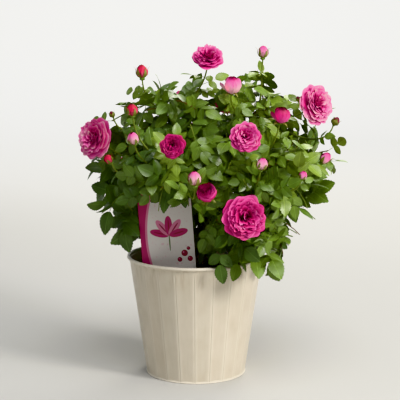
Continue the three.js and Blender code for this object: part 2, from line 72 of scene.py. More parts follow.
# Painted light: the floor is painted paler from near the pot to far out, where the lamps light it less.
FLOOR_NEAR = (192, 190, 185)
FLOOR_FAR = (244, 243, 240)
FLOOR_PAINTED_LIGHT_REACH = (1.5, FLOOR_FLAT + FLOOR_CURVE * 0.6)
PLANT = (0, 0, 0.33)
BACK_WALL = (0, 6.4, 0.9)
LAMPS = [
    {"place": (2.7, -1.9, 1.8), "aim": PLANT, "size": 0.8, "power": 99, "colour": (1.0, 0.97, 0.93)},
    {"place": (0.5, -1.4, 3.0), "aim": PLANT, "size": 2.0, "power": 76, "colour": (0.98, 0.99, 1.0)},
    {"place": (0.9, 2.2, 2.3), "aim": PLANT, "size": 1.2, "power": 34, "colour": (1.0, 0.98, 0.9)},
    {"place": (0, 2.4, 3.6), "aim": BACK_WALL, "size": 2.5, "power": 150, "colour": (1.0, 1.0, 1.0)},
]
SKY_COLOUR = (0.92, 0.96, 1.0, 1)
SKY_STRENGTH = 0.32


def linear(red, green, blue):
    """A colour as it is read off a screen, from 0 to 255, made ready for a shader."""
    shares = [value / 255 for value in (red, green, blue)]
    return (*[share / 12.92 if share <= 0.04045 else ((share + 0.055) / 1.055) ** 2.4
              for share in shares], 1)


class Wire:
    """What one socket of a material's nodes gives. Arithmetic on it adds Math nodes."""

    def __init__(self, finish, socket):
        self.finish = finish
        self.socket = socket

    def __add__(self, other):
        return self.finish.maths("ADD", self, other)

    def __sub__(self, other):
        return self.finish.maths("SUBTRACT", self, other)

    def __rsub__(self, other):
        return self.finish.maths("SUBTRACT", other, self)

    def __mul__(self, other):
        return self.finish.maths("MULTIPLY", self, other)

    def __truediv__(self, other):
        return self.finish.maths("DIVIDE", self, other)

    __radd__ = __add__
    __rmul__ = __mul__


class Finish:
    """A material of nodes. Values that are the same all over are set on its shader by name."""

    def __init__(self, name, **fixed):
        self.material = bpy.data.materials.new(name)
        self.material.use_nodes = True
        self.tree = self.material.node_tree
        self.shader = self.tree.nodes["Principled BSDF"]
        for socket, value in fixed.items():
            self.shader.inputs[socket.replace("_", " ")].default_value = value

    def feed(self, socket, value):
        if isinstance(value, Wire):
            self.tree.links.new(value.socket, socket)
        else:
            socket.default_value = value

    def node(self, kind, settings, sockets, output=0):
        made = self.tree.nodes.new("ShaderNode" + kind)
        for setting, value in settings.items():
            setattr(made, setting, value)
        for socket, value in sockets.items():
            self.feed(made.inputs[socket], value)
        return Wire(self, made.outputs[output])

    def maths(self, operation, *values):
        return self.node("Math", {"operation": operation}, dict(enumerate(values)))

    def fade(self, value, start, end):
        """0 where the value is at start, 1 where it is at end, and smooth between them."""
        sockets = {"Value": value, "From Min": start, "From Max": end}
        return self.node("MapRange", {"interpolation_type": "SMOOTHSTEP"}, sockets)

    def blend(self, share, first, second):
        return self.node("Mix", {"data_type": "RGBA"}, {0: share, 6: first, 7: second}, 2)

    def place(self, scale=(1, 1, 1)):
        """The place on the piece, stretched."""
        place = self.node("TexCoord", {}, {}, "Object")
        return self.node("Mapping", {}, {"Vector": place, "Scale": scale})

    def speckle(self, size, scale=(1, 1, 1), detail=3):
        """Soft noise from 0 to 1 whose lumps are about as wide as size."""
        sockets = {"Vector": self.place(scale), "Scale": 1 / size, "Detail": detail}
        return self.node("TexNoise", {}, sockets)

    def split(self, vector=None):
        """The parts along X, Y and Z of a vector, or of the place on the piece."""
        parts = self.node("SeparateXYZ", {}, {"Vector": vector or self.place()})
        return [Wire(self, socket) for socket in parts.socket.node.outputs]

    def marks(self):
        """The two marks that the piece's own UV map gives."""
        return self.split(self.node("TexCoord", {}, {}, "UV"))[:2]

    def dress(self, colour=None, roughness=None, relief=None, depth=0.001):
        """Links what varies over the surface: its colour, its roughness and its relief."""
        if colour is not None:
            self.feed(self.shader.inputs["Base Color"], colour)
        if roughness is not None:
            self.feed(self.shader.inputs["Roughness"], roughness)
        if relief is not None:
            bump = self.node("Bump", {}, {"Height": relief, "Distance": depth, "Strength": 1}, "Normal")
            self.feed(self.shader.inputs["Normal"], bump)
        return self.material


def start_piece(name):
    """Names the primitive that was just added and opens it for editing, all of it selected."""
    piece = bpy.context.object
    piece.name = name
    bpy.ops.object.transform_apply(location=True, rotation=True, scale=True)
    bpy.ops.object.mode_set(mode="EDIT")
    bpy.ops.mesh.select_all(action="SELECT")
    return piece


def ring_size(piece):
    """The radius at the corners of the selected ring, and its height."""
    corners = [corner.co for corner in bmesh.from_edit_mesh(piece.data).verts if corner.select]
    return max(math.hypot(place.x, place.y) for place in corners), corners[0].z


def add_ring(piece, radius, height, is_round=True):
    """Extrudes the selected ring to the next one of a turned shape."""
    lift = {"value": (0, 0, height - ring_size(piece)[1])}
    bpy.ops.mesh.extrude_region_move(TRANSFORM_OT_translate=lift)
    if is_round:
        bpy.ops.transform.tosphere(value=1)
    growth = radius / ring_size(piece)[0]
    bpy.ops.transform.resize(value=(growth, growth, 1))


def select_height(piece, height):
    bpy.ops.mesh.select_all(action="DESELECT")
    shape = bmesh.from_edit_mesh(piece.data)
    for corner in shape.verts:
        corner.select = abs(corner.co.z - height) < 1e-5
    shape.select_flush(True)
    bmesh.update_edit_mesh(piece.data)


def close_piece(piece, smooth_angle):
    """Turns the faces outwards and leaves edit mode."""
    bpy.ops.mesh.select_all(action="SELECT")
    bpy.ops.mesh.normals_make_consistent(inside=False)
    bpy.ops.object.mode_set(mode="OBJECT")
    bpy.ops.object.shade_smooth_by_angle(angle=smooth_angle)


bpy.ops.object.camera_add(location=CAMERA_PLACE, rotation=(math.pi / 2 - CAMERA_PITCH, 0, 0))
camera = bpy.context.object
camera.data.lens = CAMERA_LENS
bpy.context.scene.camera = camera

for lamp_plan in LAMPS:
    line = Vector(lamp_plan["aim"]) - Vector(lamp_plan["place"])
    aim = line.to_track_quat("-Z", "Y").to_euler()
    bpy.ops.object.light_add(type="AREA", location=lamp_plan["place"], rotation=aim)
    lamp = bpy.context.object.data
    lamp.size = lamp_plan["size"]
    lamp.energy = lamp_plan["power"]
    lamp.color = lamp_plan["colour"]

studio = bpy.data.worlds.new("studio")
studio.use_nodes = True
studio.node_tree.nodes["Background"].inputs["Color"].default_value = SKY_COLOUR
studio.node_tree.nodes["Background"].inputs["Strength"].default_value = SKY_STRENGTH
bpy.context.scene.world = studio
bpy.context.scene.view_settings.view_transform = "Khronos PBR Neutral"

bpy.ops.mesh.primitive_circle_add(vertices=FLOOR_SIDES, radius=FLOOR_FLAT)
floor = start_piece("floor")
for degrees in range(FLOOR_CURVE_STEP, FLOOR_CURVE_END, FLOOR_CURVE_STEP):
    turn = math.radians(degrees)
    add_ring(floor, FLOOR_FLAT + FLOOR_CURVE * math.sin(turn), FLOOR_CURVE * (1 - math.cos(turn)))
select_height(floor, 0)
bpy.ops.mesh.edge_face_add()
close_piece(floor, math.pi)
# Painted light: the floor's paint grows paler further out, where the lamps light it less.
floor_finish = Finish("floor_paint", Roughness=0.85)
floor_x, floor_y = floor_finish.split()[:2]
floor_out = floor_finish.maths("SQRT", floor_x * floor_x + floor_y * floor_y)
floor_paint = floor_finish.blend(floor_finish.fade(floor_out, *FLOOR_PAINTED_LIGHT_REACH),
                                 linear(*FLOOR_NEAR), linear(*FLOOR_FAR))
floor.data.materials.append(floor_finish.dress(floor_paint))


# The pot: a tapering bucket of thin sheet metal, pressed into 22 flats that fade out under a rolled rim.
# A small bead runs round its foot. It is enamelled cream, with faint runs and dust under the rim.
# Painted shade darkens each crease, and painted highlights lighten a strip beside each crease, the
# rolled rim and the foot bead.

POT_HEIGHT = 0.2345
POT_RIM_RADIUS = 0.135
POT_FOOT_RADIUS = 0.0985
POT_WALL = 0.0016
POT_FLOOR = 0.003
POT_FLATS = 22
POT_FLAT_CUTS = 7
FLAT_EDGE_TURN = math.radians(-1.2)
RIM_BEAD = 0.0032
RIM_BEAD_TURN = (-45, 225)
RIM_PROUD = RIM_BEAD * 1.2
FOOT_BEAD = 0.0013
FOOT_BEAD_TURN = (75, -90)
UNDERSIDE_RADIUS = POT_FOOT_RADIUS * 0.96
FLATS_START = 0.0045
FLATS_FADE = POT_HEIGHT - 0.014
NECK_HEIGHT = POT_HEIGHT - 0.008
BEAD_STEP = 15
SOFT_ANGLE = math.radians(15.6)
# How far the marks on the flats reach from a crease, the painted shade in it and the painted highlight
# beside it, in flats, and those round the pot, in metres up it
CREASE_REACH = (0.0, 0.035)
BAND_REACH = (0.05, 0.16)
FLATS_REACH = (FLATS_FADE - 0.008, FLATS_FADE + 0.003)
DUST_REACH = (POT_HEIGHT - 0.06, POT_HEIGHT - 0.008)
# The rolled rim and the foot bead are painted bright here, as a painted highlight.
RIM_REACH = (POT_HEIGHT - 0.006, POT_HEIGHT - 0.003)
FOOT_REACH = (0.002, 0.005)
CREAM = linear(213, 203, 185)
# The darker cream serves random patches and runs in the paint, and also the painted shade in the
# creases; the bright cream is only painted highlight.
CREAM_DARKER_AND_PAINTED_SHADE = linear(186, 172, 146)
CREAM_PAINTED_HIGHLIGHT = linear(230, 222, 206)
DUST = linear(158, 138, 104)


def pot_radius_at(height):
    foot = POT_FOOT_RADIUS - FOOT_BEAD
    top = POT_RIM_RADIUS - RIM_PROUD
    return foot + (top - foot) * height / POT_HEIGHT


def pot_inside_at(height):
    """The inside is round, and clears the middle of the flats."""
    return pot_radius_at(height) * math.cos(math.pi / POT_FLATS) - POT_WALL


def add_bead(piece, outside, height, radius, start, end):
    """Adds a round bead's rings from one angle to another, in degrees up from its outside."""
    count = round(abs(end - start) / BEAD_STEP)
    for step in range(count + 1):
        turn = math.radians(start + (end - start) * step / count)
        add_ring(piece, outside - radius + radius * math.cos(turn), height + radius * math.sin(turn))


bpy.ops.mesh.primitive_circle_add(
    vertices=POT_FLATS, radius=pot_radius_at(FLATS_START),
    location=(0, 0, FLATS_START), rotation=(0, 0, FLAT_EDGE_TURN))
pot = start_piece("enamelled_pot")
bpy.ops.mesh.subdivide(number_cuts=POT_FLAT_CUTS)
add_bead(pot, POT_FOOT_RADIUS, FOOT_BEAD, FOOT_BEAD, *FOOT_BEAD_TURN)
add_ring(pot, UNDERSIDE_RADIUS, 0.0)
bpy.ops.mesh.edge_face_add()
select_height(pot, FLATS_START)
add_ring(pot, pot_radius_at(FLATS_FADE), FLATS_FADE, is_round=False)
add_ring(pot, pot_radius_at(NECK_HEIGHT), NECK_HEIGHT)
add_bead(pot, POT_RIM_RADIUS, POT_HEIGHT - RIM_BEAD, RIM_BEAD, *RIM_BEAD_TURN)
add_ring(pot, pot_inside_at(NECK_HEIGHT), NECK_HEIGHT)
add_ring(pot, pot_inside_at(POT_FLOOR), POT_FLOOR)
bpy.ops.mesh.edge_face_add()
close_piece(pot, SOFT_ANGLE)

enamel = Finish("cream_enamel", Coat_Weight=0.12, Coat_Roughness=0.3)
pot_x, pot_y, pot_z = enamel.split()
pot_turn = enamel.maths("ARCTAN2", pot_y, pot_x) - (FLAT_EDGE_TURN + math.pi / 2)
to_edge = enamel.maths("PINGPONG", pot_turn * (POT_FLATS / math.tau), 0.5)
on_flats = 1 - enamel.fade(pot_z, *FLATS_REACH)
# Painted shade: the paint is darkened along each crease, which is also sunk in the relief.
crease = (1 - enamel.fade(to_edge, *CREASE_REACH)) * on_flats
# Painted highlight: a bright strip beside each crease.
painted_highlight_band = (1 - enamel.fade(to_edge, *BAND_REACH)) * on_flats
runs = enamel.speckle(0.006, (1, 1, 0.04), 4)
blotches = enamel.speckle(0.05)
dusty = enamel.fade(pot_z, *DUST_REACH) * enamel.fade(runs, 0.45, 0.75)
# Painted highlight: the rolled rim and the foot bead are painted bright.
painted_bead_highlights = enamel.maths("MAXIMUM", enamel.fade(pot_z, *RIM_REACH), 1 - enamel.fade(pot_z, *FOOT_REACH))
paint = CREAM
for mask, strength, colour in ((enamel.fade(blotches, 0.4, 0.85), 0.3, CREAM_DARKER_AND_PAINTED_SHADE),
                               (enamel.fade(runs, 0.4, 0.75), 0.14, CREAM_DARKER_AND_PAINTED_SHADE),
                               (painted_highlight_band, 0.34, CREAM_PAINTED_HIGHLIGHT), (crease, 0.5, CREAM_DARKER_AND_PAINTED_SHADE),
                               (dusty, 0.35, DUST), (painted_bead_highlights, 0.7, CREAM_PAINTED_HIGHLIGHT)):
    paint = enamel.blend(mask * strength, paint, colour)
pot.data.materials.append(enamel.dress(paint, blotches * 0.14 + 0.36, runs * 0.03 - crease, 0.0004))
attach(pot, "root")
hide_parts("pot")


# The compost: dark, crumbly potting mix to 22 mm under the rim, mounded up a little round the stem.
# Crumbs and bits of bark lie loose on it.

COMPOST_TOP = POT_HEIGHT - 0.022
COMPOST_RISE = 0.005
COMPOST_EDGE = COMPOST_TOP - COMPOST_RISE
COMPOST_FLOOR = 0.0035
COMPOST_GAP = 0.0004                  # to the inside of the pot
COMPOST_SIDES = 150
COMPOST_RINGS = 34
COMPOST_LUMPS = 0.006
MOUND_SLOPE = 1.8                     # the mound's top is flat from 1 / 1.8 of the way in
CRUMBS = 1500
CRUMBS_CLEAR = 0.003                  # of the compost's edge
CRUMB_SIZES = (0.0008, 0.0028)
CRUMB_LENGTHS = (1, 2.4)
CRUMB_HEIGHTS = (0.5, 1)
CRUMB_PROUD = 0.3
CHIP_SHARE = 0.18
FIRST_SEED = 2089


class Dice:
    """A repeatable run of random numbers."""

    def __init__(self, seed):
        self.state = seed

    def roll(self, low=0.0, high=1.0):
        self.state = self.state * 48271 % 2147483647
        return low + (high - low) * self.state / 2147483647


class Heap:
    """Many small things of one kind, gathered as arrays and made into one mesh."""

    def __init__(self):
        self.points = []
        self.faces = []
        self.tones = []
        self.marks = []
        self.count = 0

    def add(self, points, faces, tones, marks=None):
        """tones is one material index for all the faces or one for each, and marks each point's UV."""
        self.points.append(points)
        self.faces.extend([[corner + self.count for corner in face] for face in faces])
        self.tones.extend(tones if isinstance(tones, list) else [tones] * len(faces))
        self.marks.append(np.zeros((len(points), 2)) if marks is None else marks)
        self.count += len(points)

    def make(self, name, finishes, smooth_angle):
        mesh = bpy.data.meshes.new(name)
        mesh.from_pydata(np.concatenate(self.points), [], self.faces)
        for finish in finishes:
            mesh.materials.append(finish)
        mesh.polygons.foreach_set("material_index", self.tones)
        corners = np.zeros(len(mesh.loops), dtype=np.int32)
        mesh.loops.foreach_get("vertex_index", corners)
        layer = mesh.uv_layers.new(name="marks")
        layer.data.foreach_set("uv", np.concatenate(self.marks)[corners].astype(np.float32).ravel())
        piece = bpy.data.objects.new(name, mesh)
        bpy.context.scene.collection.objects.link(piece)
        bpy.ops.object.select_all(action="DESELECT")
        piece.select_set(True)
        bpy.context.view_layer.objects.active = piece
        bpy.ops.object.shade_smooth_by_angle(angle=smooth_angle)
        return piece


def model_arrays():
    """The points and faces of the primitive that was just added, which is then removed."""
    model = bpy.context.object
    points = np.array([corner.co for corner in model.data.vertices])
    faces = [list(face.vertices) for face in model.data.polygons]
    bpy.data.objects.remove(model)
    return points, faces


def turned(points, euler):
    return points @ np.array(Euler(euler).to_matrix()).T


def roughen(piece, size, strength, detail, **settings):
    """Raises soft lumps of about this size on the active piece."""
    lumps = piece.modifiers.new("lumps", "DISPLACE")
    lumps.texture = bpy.data.textures.new("lumps", "CLOUDS")
    lumps.texture.noise_scale = size
    lumps.texture.noise_depth = detail
    lumps.texture_coords = "LOCAL"
    lumps.strength = strength
    for setting, value in settings.items():
        setattr(lumps, setting, value)
    bpy.ops.object.modifier_apply(modifier="lumps")


def mottled(name, size, first, second, roughness, grain=None, depth=0.001):
    """A finish of two colours in soft patches, with a fine relief where its grain is given."""
    finish = Finish(name, Roughness=roughness)
    colour = finish.blend(finish.speckle(size), linear(*first), linear(*second))
    return finish.dress(colour, relief=finish.speckle(grain) if grain else None, depth=depth)


def compost_height(inward):
    """The compost rises from its edge, 0, towards its middle, 1."""
    return COMPOST_EDGE + COMPOST_RISE * min(1, inward * MOUND_SLOPE)


bpy.ops.mesh.primitive_circle_add(
    vertices=COMPOST_SIDES, radius=pot_inside_at(COMPOST_FLOOR) - COMPOST_GAP,
    location=(0, 0, COMPOST_FLOOR), fill_type="NGON")
compost = start_piece("potting_compost")
compost_radius = pot_inside_at(COMPOST_EDGE) - COMPOST_GAP
add_ring(compost, compost_radius, COMPOST_EDGE)
for step in range(1, COMPOST_RINGS):
    inward = step / COMPOST_RINGS
    add_ring(compost, compost_radius * (1 - inward), compost_height(inward))
bpy.ops.mesh.merge(type="CENTER")
close_piece(compost, math.pi)
surface = compost.vertex_groups.new(name="surface")
raised = [corner.index for corner in compost.data.vertices if corner.co.z > COMPOST_EDGE - 1e-4]
surface.add(raised, 1, "REPLACE")
roughen(compost, 0.011, COMPOST_LUMPS, 3, direction="Z", vertex_group="surface")

soil = Finish("dark_compost", Roughness=0.95)
soil_colour = soil.blend(soil.fade(soil.speckle(0.004, detail=5), 0.35, 0.7),
                         linear(22, 16, 11), linear(58, 43, 30))
soil_finish = soil.dress(soil_colour, relief=soil.speckle(0.002, detail=6), depth=0.002)
compost.data.materials.append(soil_finish)
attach(compost, "root")
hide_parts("compost")

bark_chip_finish = mottled("bark_chips", 0.002, (58, 38, 24), (104, 78, 52), 0.9, 0.001)

crumb_dice = Dice(FIRST_SEED)
bpy.ops.mesh.primitive_ico_sphere_add(subdivisions=1)
crumb_points, crumb_faces = model_arrays()
crumbs = Heap()
for _ in range(CRUMBS):
    out = (compost_radius - CRUMBS_CLEAR) * math.sqrt(crumb_dice.roll())
    turn = crumb_dice.roll(0, math.tau)
    half = crumb_dice.roll(*CRUMB_SIZES)
    stretch = np.array([crumb_dice.roll(*CRUMB_LENGTHS), 1, crumb_dice.roll(*CRUMB_HEIGHTS)]) * half
    lying = turned(crumb_points * stretch, [crumb_dice.roll(0, math.tau) for _ in range(3)])
    height = compost_height(1 - out / compost_radius) + half * CRUMB_PROUD
    middle = np.array([math.cos(turn) * out, math.sin(turn) * out, height])
    crumbs.add(lying + middle, crumb_faces, 1 if crumb_dice.roll() < CHIP_SHARE else 0)
crumb_piece = crumbs.make("compost_crumbs", [soil_finish, bark_chip_finish], math.radians(20))
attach(crumb_piece, "root")


# The label card: a stiff, glossy card pushed into the compost behind the front of the rim.
# It is off-white, with a plain fan of petals, a sweep of pink and a few berries printed on it.

CARD_WIDTH = 0.103
CARD_HEIGHT = 0.172
CARD_THICKNESS = 0.0012
CARD_CORNER = 0.005
CARD_FOOT = (-0.0485, -0.075, 0.2035)
CARD_TURN = math.radians(-9)
CARD_LEAN = math.radians(4.4)
CARD_WHITE = linear(226, 219, 214)
CARD_PINK = linear(214, 128, 160)
CARD_MAGENTA = linear(176, 34, 96)
CARD_RED = linear(132, 12, 42)
CARD_GREEN = linear(96, 116, 66)
PETAL_FAN = [-76, -38, 0, 38, 76]
FAN_FOOT = (0.056, 0.082)
FAN_REACH = 0.019
FAN_PETAL = (0.0072, 0.0185)
FAN_VEIN = (0.0012, 0.0111)
FAN_STALK = (0.056, 0.068, 0.0013, 0.016)
SWEEP_MIDDLE = 0.078
SWEEP_BEND = 2.2
SWEEP_PINK_EDGE = (0.0135, 0.0142)
SWEEP_MAGENTA_EDGE = (0.0092, 0.0098)
TOP_BAND_EDGE = (CARD_HEIGHT - 0.0125, CARD_HEIGHT - 0.012)
BERRIES = [(0.083, 0.047, 0.0062), (0.093, 0.036, 0.005), (0.073, 0.035, 0.0045), (0.091, 0.056, 0.0035)]

bpy.ops.mesh.primitive_plane_add(size=1, location=(0, 0.5, 0))
card = start_piece("label_print")
bpy.ops.transform.resize(value=(CARD_WIDTH, CARD_HEIGHT, 1), center_override=(0, 0, 0))
bpy.ops.mesh.select_all(action="DESELECT")
card_shape = bmesh.from_edit_mesh(card.data)
for corner in card_shape.verts:
    corner.select = corner.co.y > CARD_HEIGHT / 2
bpy.ops.mesh.bevel(offset=CARD_CORNER, segments=5, affect="VERTICES")
bpy.ops.object.mode_set(mode="OBJECT")
stock = card.modifiers.new("stock", "SOLIDIFY")
stock.thickness = CARD_THICKNESS
stock.offset = 0
bpy.ops.object.modifier_apply(modifier="stock")
card.matrix_world = (Matrix.Translation(CARD_FOOT) @ Matrix.Rotation(CARD_TURN, 4, "Z")
                     @ Matrix.Rotation(math.pi / 2, 4, "X") @ Matrix.Rotation(CARD_LEAN, 4, "Z"))
bpy.ops.object.transform_apply(location=True, rotation=True, scale=True)

print_finish = Finish("printed_card", Roughness=0.38, Coat_Weight=0.15)
card_x, card_y = [mark * size for mark, size in zip(print_finish.marks(), (CARD_WIDTH, CARD_HEIGHT))]


def oval(x, y, half_wide, half_high, turn=0.0):
    """1 inside an oval on the card, 0 outside it."""
    across = (card_x - x) * math.cos(turn) + (card_y - y) * math.sin(turn)
    up = (card_y - y) * math.cos(turn) - (card_x - x) * math.sin(turn)
    share = across * across / half_wide ** 2 + up * up / half_high ** 2
    return 1 - print_finish.fade(share, 0.92, 1.08)


sweep = card_x - (card_y - SWEEP_MIDDLE) * (card_y - SWEEP_MIDDLE) * SWEEP_BEND
inks = [(print_finish.fade(print_finish.speckle(0.005), 0.6, 0.7) * 0.35, CARD_PINK),
        (1 - print_finish.fade(sweep, *SWEEP_PINK_EDGE), CARD_PINK),
        (1 - print_finish.fade(sweep, *SWEEP_MAGENTA_EDGE), CARD_MAGENTA),
        (print_finish.fade(card_y, *TOP_BAND_EDGE), CARD_MAGENTA),
        (oval(*FAN_STALK), CARD_GREEN)]
for order, fan_turn in enumerate(PETAL_FAN):
    fan_angle = math.radians(fan_turn)
    petal_x = FAN_FOOT[0] + math.sin(fan_angle) * FAN_REACH
    petal_y = FAN_FOOT[1] + math.cos(fan_angle) * FAN_REACH
    inks.append((oval(petal_x, petal_y, *FAN_PETAL, -fan_angle), (CARD_MAGENTA, CARD_PINK)[order % 2]))
    inks.append((oval(petal_x, petal_y, *FAN_VEIN, -fan_angle), CARD_RED))
for berry_x, berry_y, half in BERRIES:
    inks.append((oval(berry_x, berry_y, half, half), CARD_RED))
    inks.append((oval(berry_x - half * 0.3, berry_y + half * 0.3, half * 0.25, half * 0.25), CARD_PINK))
printed = CARD_WHITE
for mask, ink in inks:
    printed = print_finish.blend(mask, printed, ink)
card.data.materials.append(print_finish.dress(printed))
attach(card, "root")
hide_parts("label_card")


# The rootstock and the canes: a knobbly, flared stub of old wood, and twelve canes that spring from it
# in three rings. Their bark is green to olive, darker and cracked at the foot, with down-turned thorns.

STOCK_RADIUS = 0.015
STOCK_FLARE = 0.022
STOCK_HEIGHT = 0.040
STOCK_SIDES = 48
STOCK_FOOT = COMPOST_TOP + 0.0003
STOCK_PROFILE = [(1.08, 0.26), (1.0, 0.45), (1.1, 0.65), (0.97, 0.82), (0.66, 0.95), (0.3, 1.0)]
CROWN_MIDDLE = np.array([0.040, 0, 0.402])
CROWN_REACH = np.array([0.248, 0.228, 0.186])
# The masses of each ring, their height, and how far up and out on the rootstock their canes spring
RINGS = [
    {"name": "low", "turns": [-60, 0, 60, 120, 180], "height": 0.308, "up": 0.012, "out": 0.6},
    {"name": "middle", "turns": [-126, -54, 18, 90, 162], "height": 0.425, "up": 0.022, "out": 0.6},
    {"name": "top", "turns": [-10, 170], "height": 0.530, "up": 0.034, "out": 0.35},
]
CANE_RADII = (0.0046, 0.0033)
CANE_ENTERS = 0.56                    # of the way from its foot to the middle of its mass
CANE_BEND = (0.45, 0.12)              # how far along a cane its bend is drawn, and how far up
CANE_SIDES = 14
CANE_STEPS = 64
AGED_REACH = (COMPOST_TOP + 0.02, COMPOST_TOP + 0.11)
STEM_ENDS = 0.5
JOINT_EVERY = 0.034                   # a cane swells a little at each place where a leaf stood
JOINT_SWELLING = 0.16
JOINT_WIDTH = 0.07
RIDGE_HEIGHT = 0.16
RIDGES_ROUND = 3
RIDGES_ALONG = 45
THORN_EVERY = 0.016
THORN_LENGTH = 0.0048
# Of a thorn's length: half its foot along the cane and across it, how far out its waist is, and how far
# its waist and its tip hang. The waist is narrower than the foot
THORN_FOOT = (0.55, 0.22)
THORN_WAIST = 0.5
THORN_NARROWS = 0.4
THORN_HANG = (0.12, 0.45)
THORN_ROOT = 0.8                      # of the cane's radius, so that it starts inside the bark
THORN_PLACES = (0.2, 0.8)
THORN_SIZES = (0.7, 1.1)
UP = np.array([0.0, 0.0, 1.0])


def unit(vector):
    return vector / np.linalg.norm(vector)


def sideways(direction, turn):
    """A direction square to another, turned about it."""
    reference = np.array([1.0, 0, 0]) if abs(direction[2]) > 0.9 else UP
    side = unit(np.cross(direction, reference))
    return side * math.cos(turn) + np.cross(direction, side) * math.sin(turn)


class Sweep:
    """A smooth bend from one point to another, drawn towards a third."""

    def __init__(self, start, control, end):
        self.start = start
        self.control = control
        self.end = end

    def at(self, share):
        share = np.asarray(share, float)[..., None]
        rest = 1 - share
        return rest ** 2 * self.start + 2 * rest * share * self.control + share ** 2 * self.end

    def heading(self, share):
        return unit((1 - share) * (self.control - self.start) + share * (self.end - self.control))

    def length(self):
        places = self.at(np.linspace(0, 1, 20))
        return float(np.linalg.norm(np.diff(places, axis=0), axis=1).sum())


def add_tube(heap, places, radii, sides, tone):
    """A round limb along a line of places. Its marks run round it and along it in metres."""
    headings = np.gradient(places, axis=0)
    side = sideways(unit(headings[0]), 0)
    turns = np.arange(sides) * math.tau / sides
    radii = np.broadcast_to(np.asarray(radii, float).reshape(len(places), -1), (len(places), sides))
    rings = []
    for place, heading, radius in zip(places, headings, radii):
        heading = unit(heading)
        side = unit(side - heading * (side @ heading))
        around = np.outer(np.cos(turns), side) + np.outer(np.sin(turns), np.cross(heading, side))
        rings.append(place + radius[:, None] * around)
    faces = []
    for step in range(len(places) - 1):
        for k in range(sides):
            low, following = step * sides + k, step * sides + (k + 1) % sides
            faces.append([low, following, following + sides, low + sides])
    last = (len(places) - 1) * sides
    faces.append(list(range(sides))[::-1])
    faces.append([last + k for k in range(sides)])
    along = np.concatenate([[0], np.cumsum(np.linalg.norm(np.diff(places, axis=0), axis=1))])
    marks = np.stack([np.tile(np.arange(sides) / sides, len(places)), np.repeat(along, sides)], 1)
    heap.add(np.concatenate(rings), faces, tone, marks)


def ridge_at(turn, height):
    return noise.noise(Vector((math.cos(turn) * RIDGES_ROUND, math.sin(turn) * RIDGES_ROUND, height)))


def add_thorn(heap, root, outward, heading, size, tone):
    """A flat-based thorn that hooks down towards the cane's foot."""
    across = np.cross(heading, outward)
    base = [root + heading * along * size * THORN_FOOT[0] + across * side * size * THORN_FOOT[1]
            for along, side in ((1, 0), (0, 1), (-1, 0), (0, -1))]
    middle = root + outward * size * THORN_WAIST - heading * size * THORN_HANG[0]
    waist = [middle + (corner - root) * THORN_NARROWS for corner in base]
    tip = root + outward * size - heading * size * THORN_HANG[1]
    faces = [[k, (k + 1) % 4, 4 + (k + 1) % 4, 4 + k] for k in range(4)]
    faces += [[4 + k, 4 + (k + 1) % 4, 8] for k in range(4)]
    heap.add(np.array([*base, *waist, tip]), [face[::-1] for face in faces], tone)


def add_thorns(heap, path, radius, dice, size, tone):
    for step in range(int(path.length() / THORN_EVERY)):
        share = (step + dice.roll(*THORN_PLACES)) * THORN_EVERY / path.length()
        outward = sideways(path.heading(share), dice.roll(0, math.tau))
        add_thorn(heap, path.at(share) + outward * radius * THORN_ROOT, outward, path.heading(share),
                  size * dice.roll(*THORN_SIZES), tone)


bpy.ops.object.select_all(action="DESELECT")
bpy.ops.mesh.primitive_circle_add(vertices=STOCK_SIDES, radius=STOCK_FLARE, location=(0, 0, STOCK_FOOT),
                                  fill_type="NGON")
rootstock = start_piece("old_rootstock")
for share_out, share_up in STOCK_PROFILE:
    add_ring(rootstock, STOCK_RADIUS * share_out, STOCK_FOOT + STOCK_HEIGHT * share_up)
bpy.ops.mesh.merge(type="CENTER")
close_piece(rootstock, math.pi)
rounding = rootstock.modifiers.new("rounding", "SUBSURF")
rounding.levels = 2
rounding.render_levels = 2
bpy.ops.object.modifier_apply(modifier="rounding")
roughen(rootstock, 0.009, 0.004, 2)

old_wood = Finish("old_wood", Roughness=0.9)
cracks = old_wood.speckle(0.003, (1, 1, 0.25), 5)
wood_colour = old_wood.blend(old_wood.fade(cracks, 0.4, 0.62), linear(52, 40, 28), linear(122, 102, 70))
rootstock.data.materials.append(old_wood.dress(wood_colour, relief=cracks, depth=0.002))
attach(rootstock, "root")
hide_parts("rootstock")

masses = []
for ring in RINGS:
    for order, turn_degrees in enumerate(ring["turns"]):
        turn = math.radians(turn_degrees)
        rise = (ring["height"] - CROWN_MIDDLE[2]) / CROWN_REACH[2]
        level = math.sqrt(1 - rise * rise) * STEM_ENDS
        centre = np.array([CROWN_MIDDLE[0] + math.cos(turn) * CROWN_REACH[0] * level,
                           CROWN_MIDDLE[1] + math.sin(turn) * CROWN_REACH[1] * level,
                           ring["height"]])
        out = STOCK_RADIUS * ring["out"]
        foot = np.array([math.cos(turn) * out, math.sin(turn) * out, COMPOST_TOP + ring["up"]])
        end = foot + (centre - foot) * CANE_ENTERS
        bend = foot + (end - foot) * CANE_BEND[0] + UP * np.linalg.norm(end - foot) * CANE_BEND[1]
        cane = Sweep(foot, bend, end)
        stem_bend = end + cane.heading(1) * np.linalg.norm(centre - end) * 0.5
        masses.append({"name": f"{ring['name']}_{order + 1}", "centre": centre, "cane": cane,
                       "stem": Sweep(end, stem_bend, centre)})

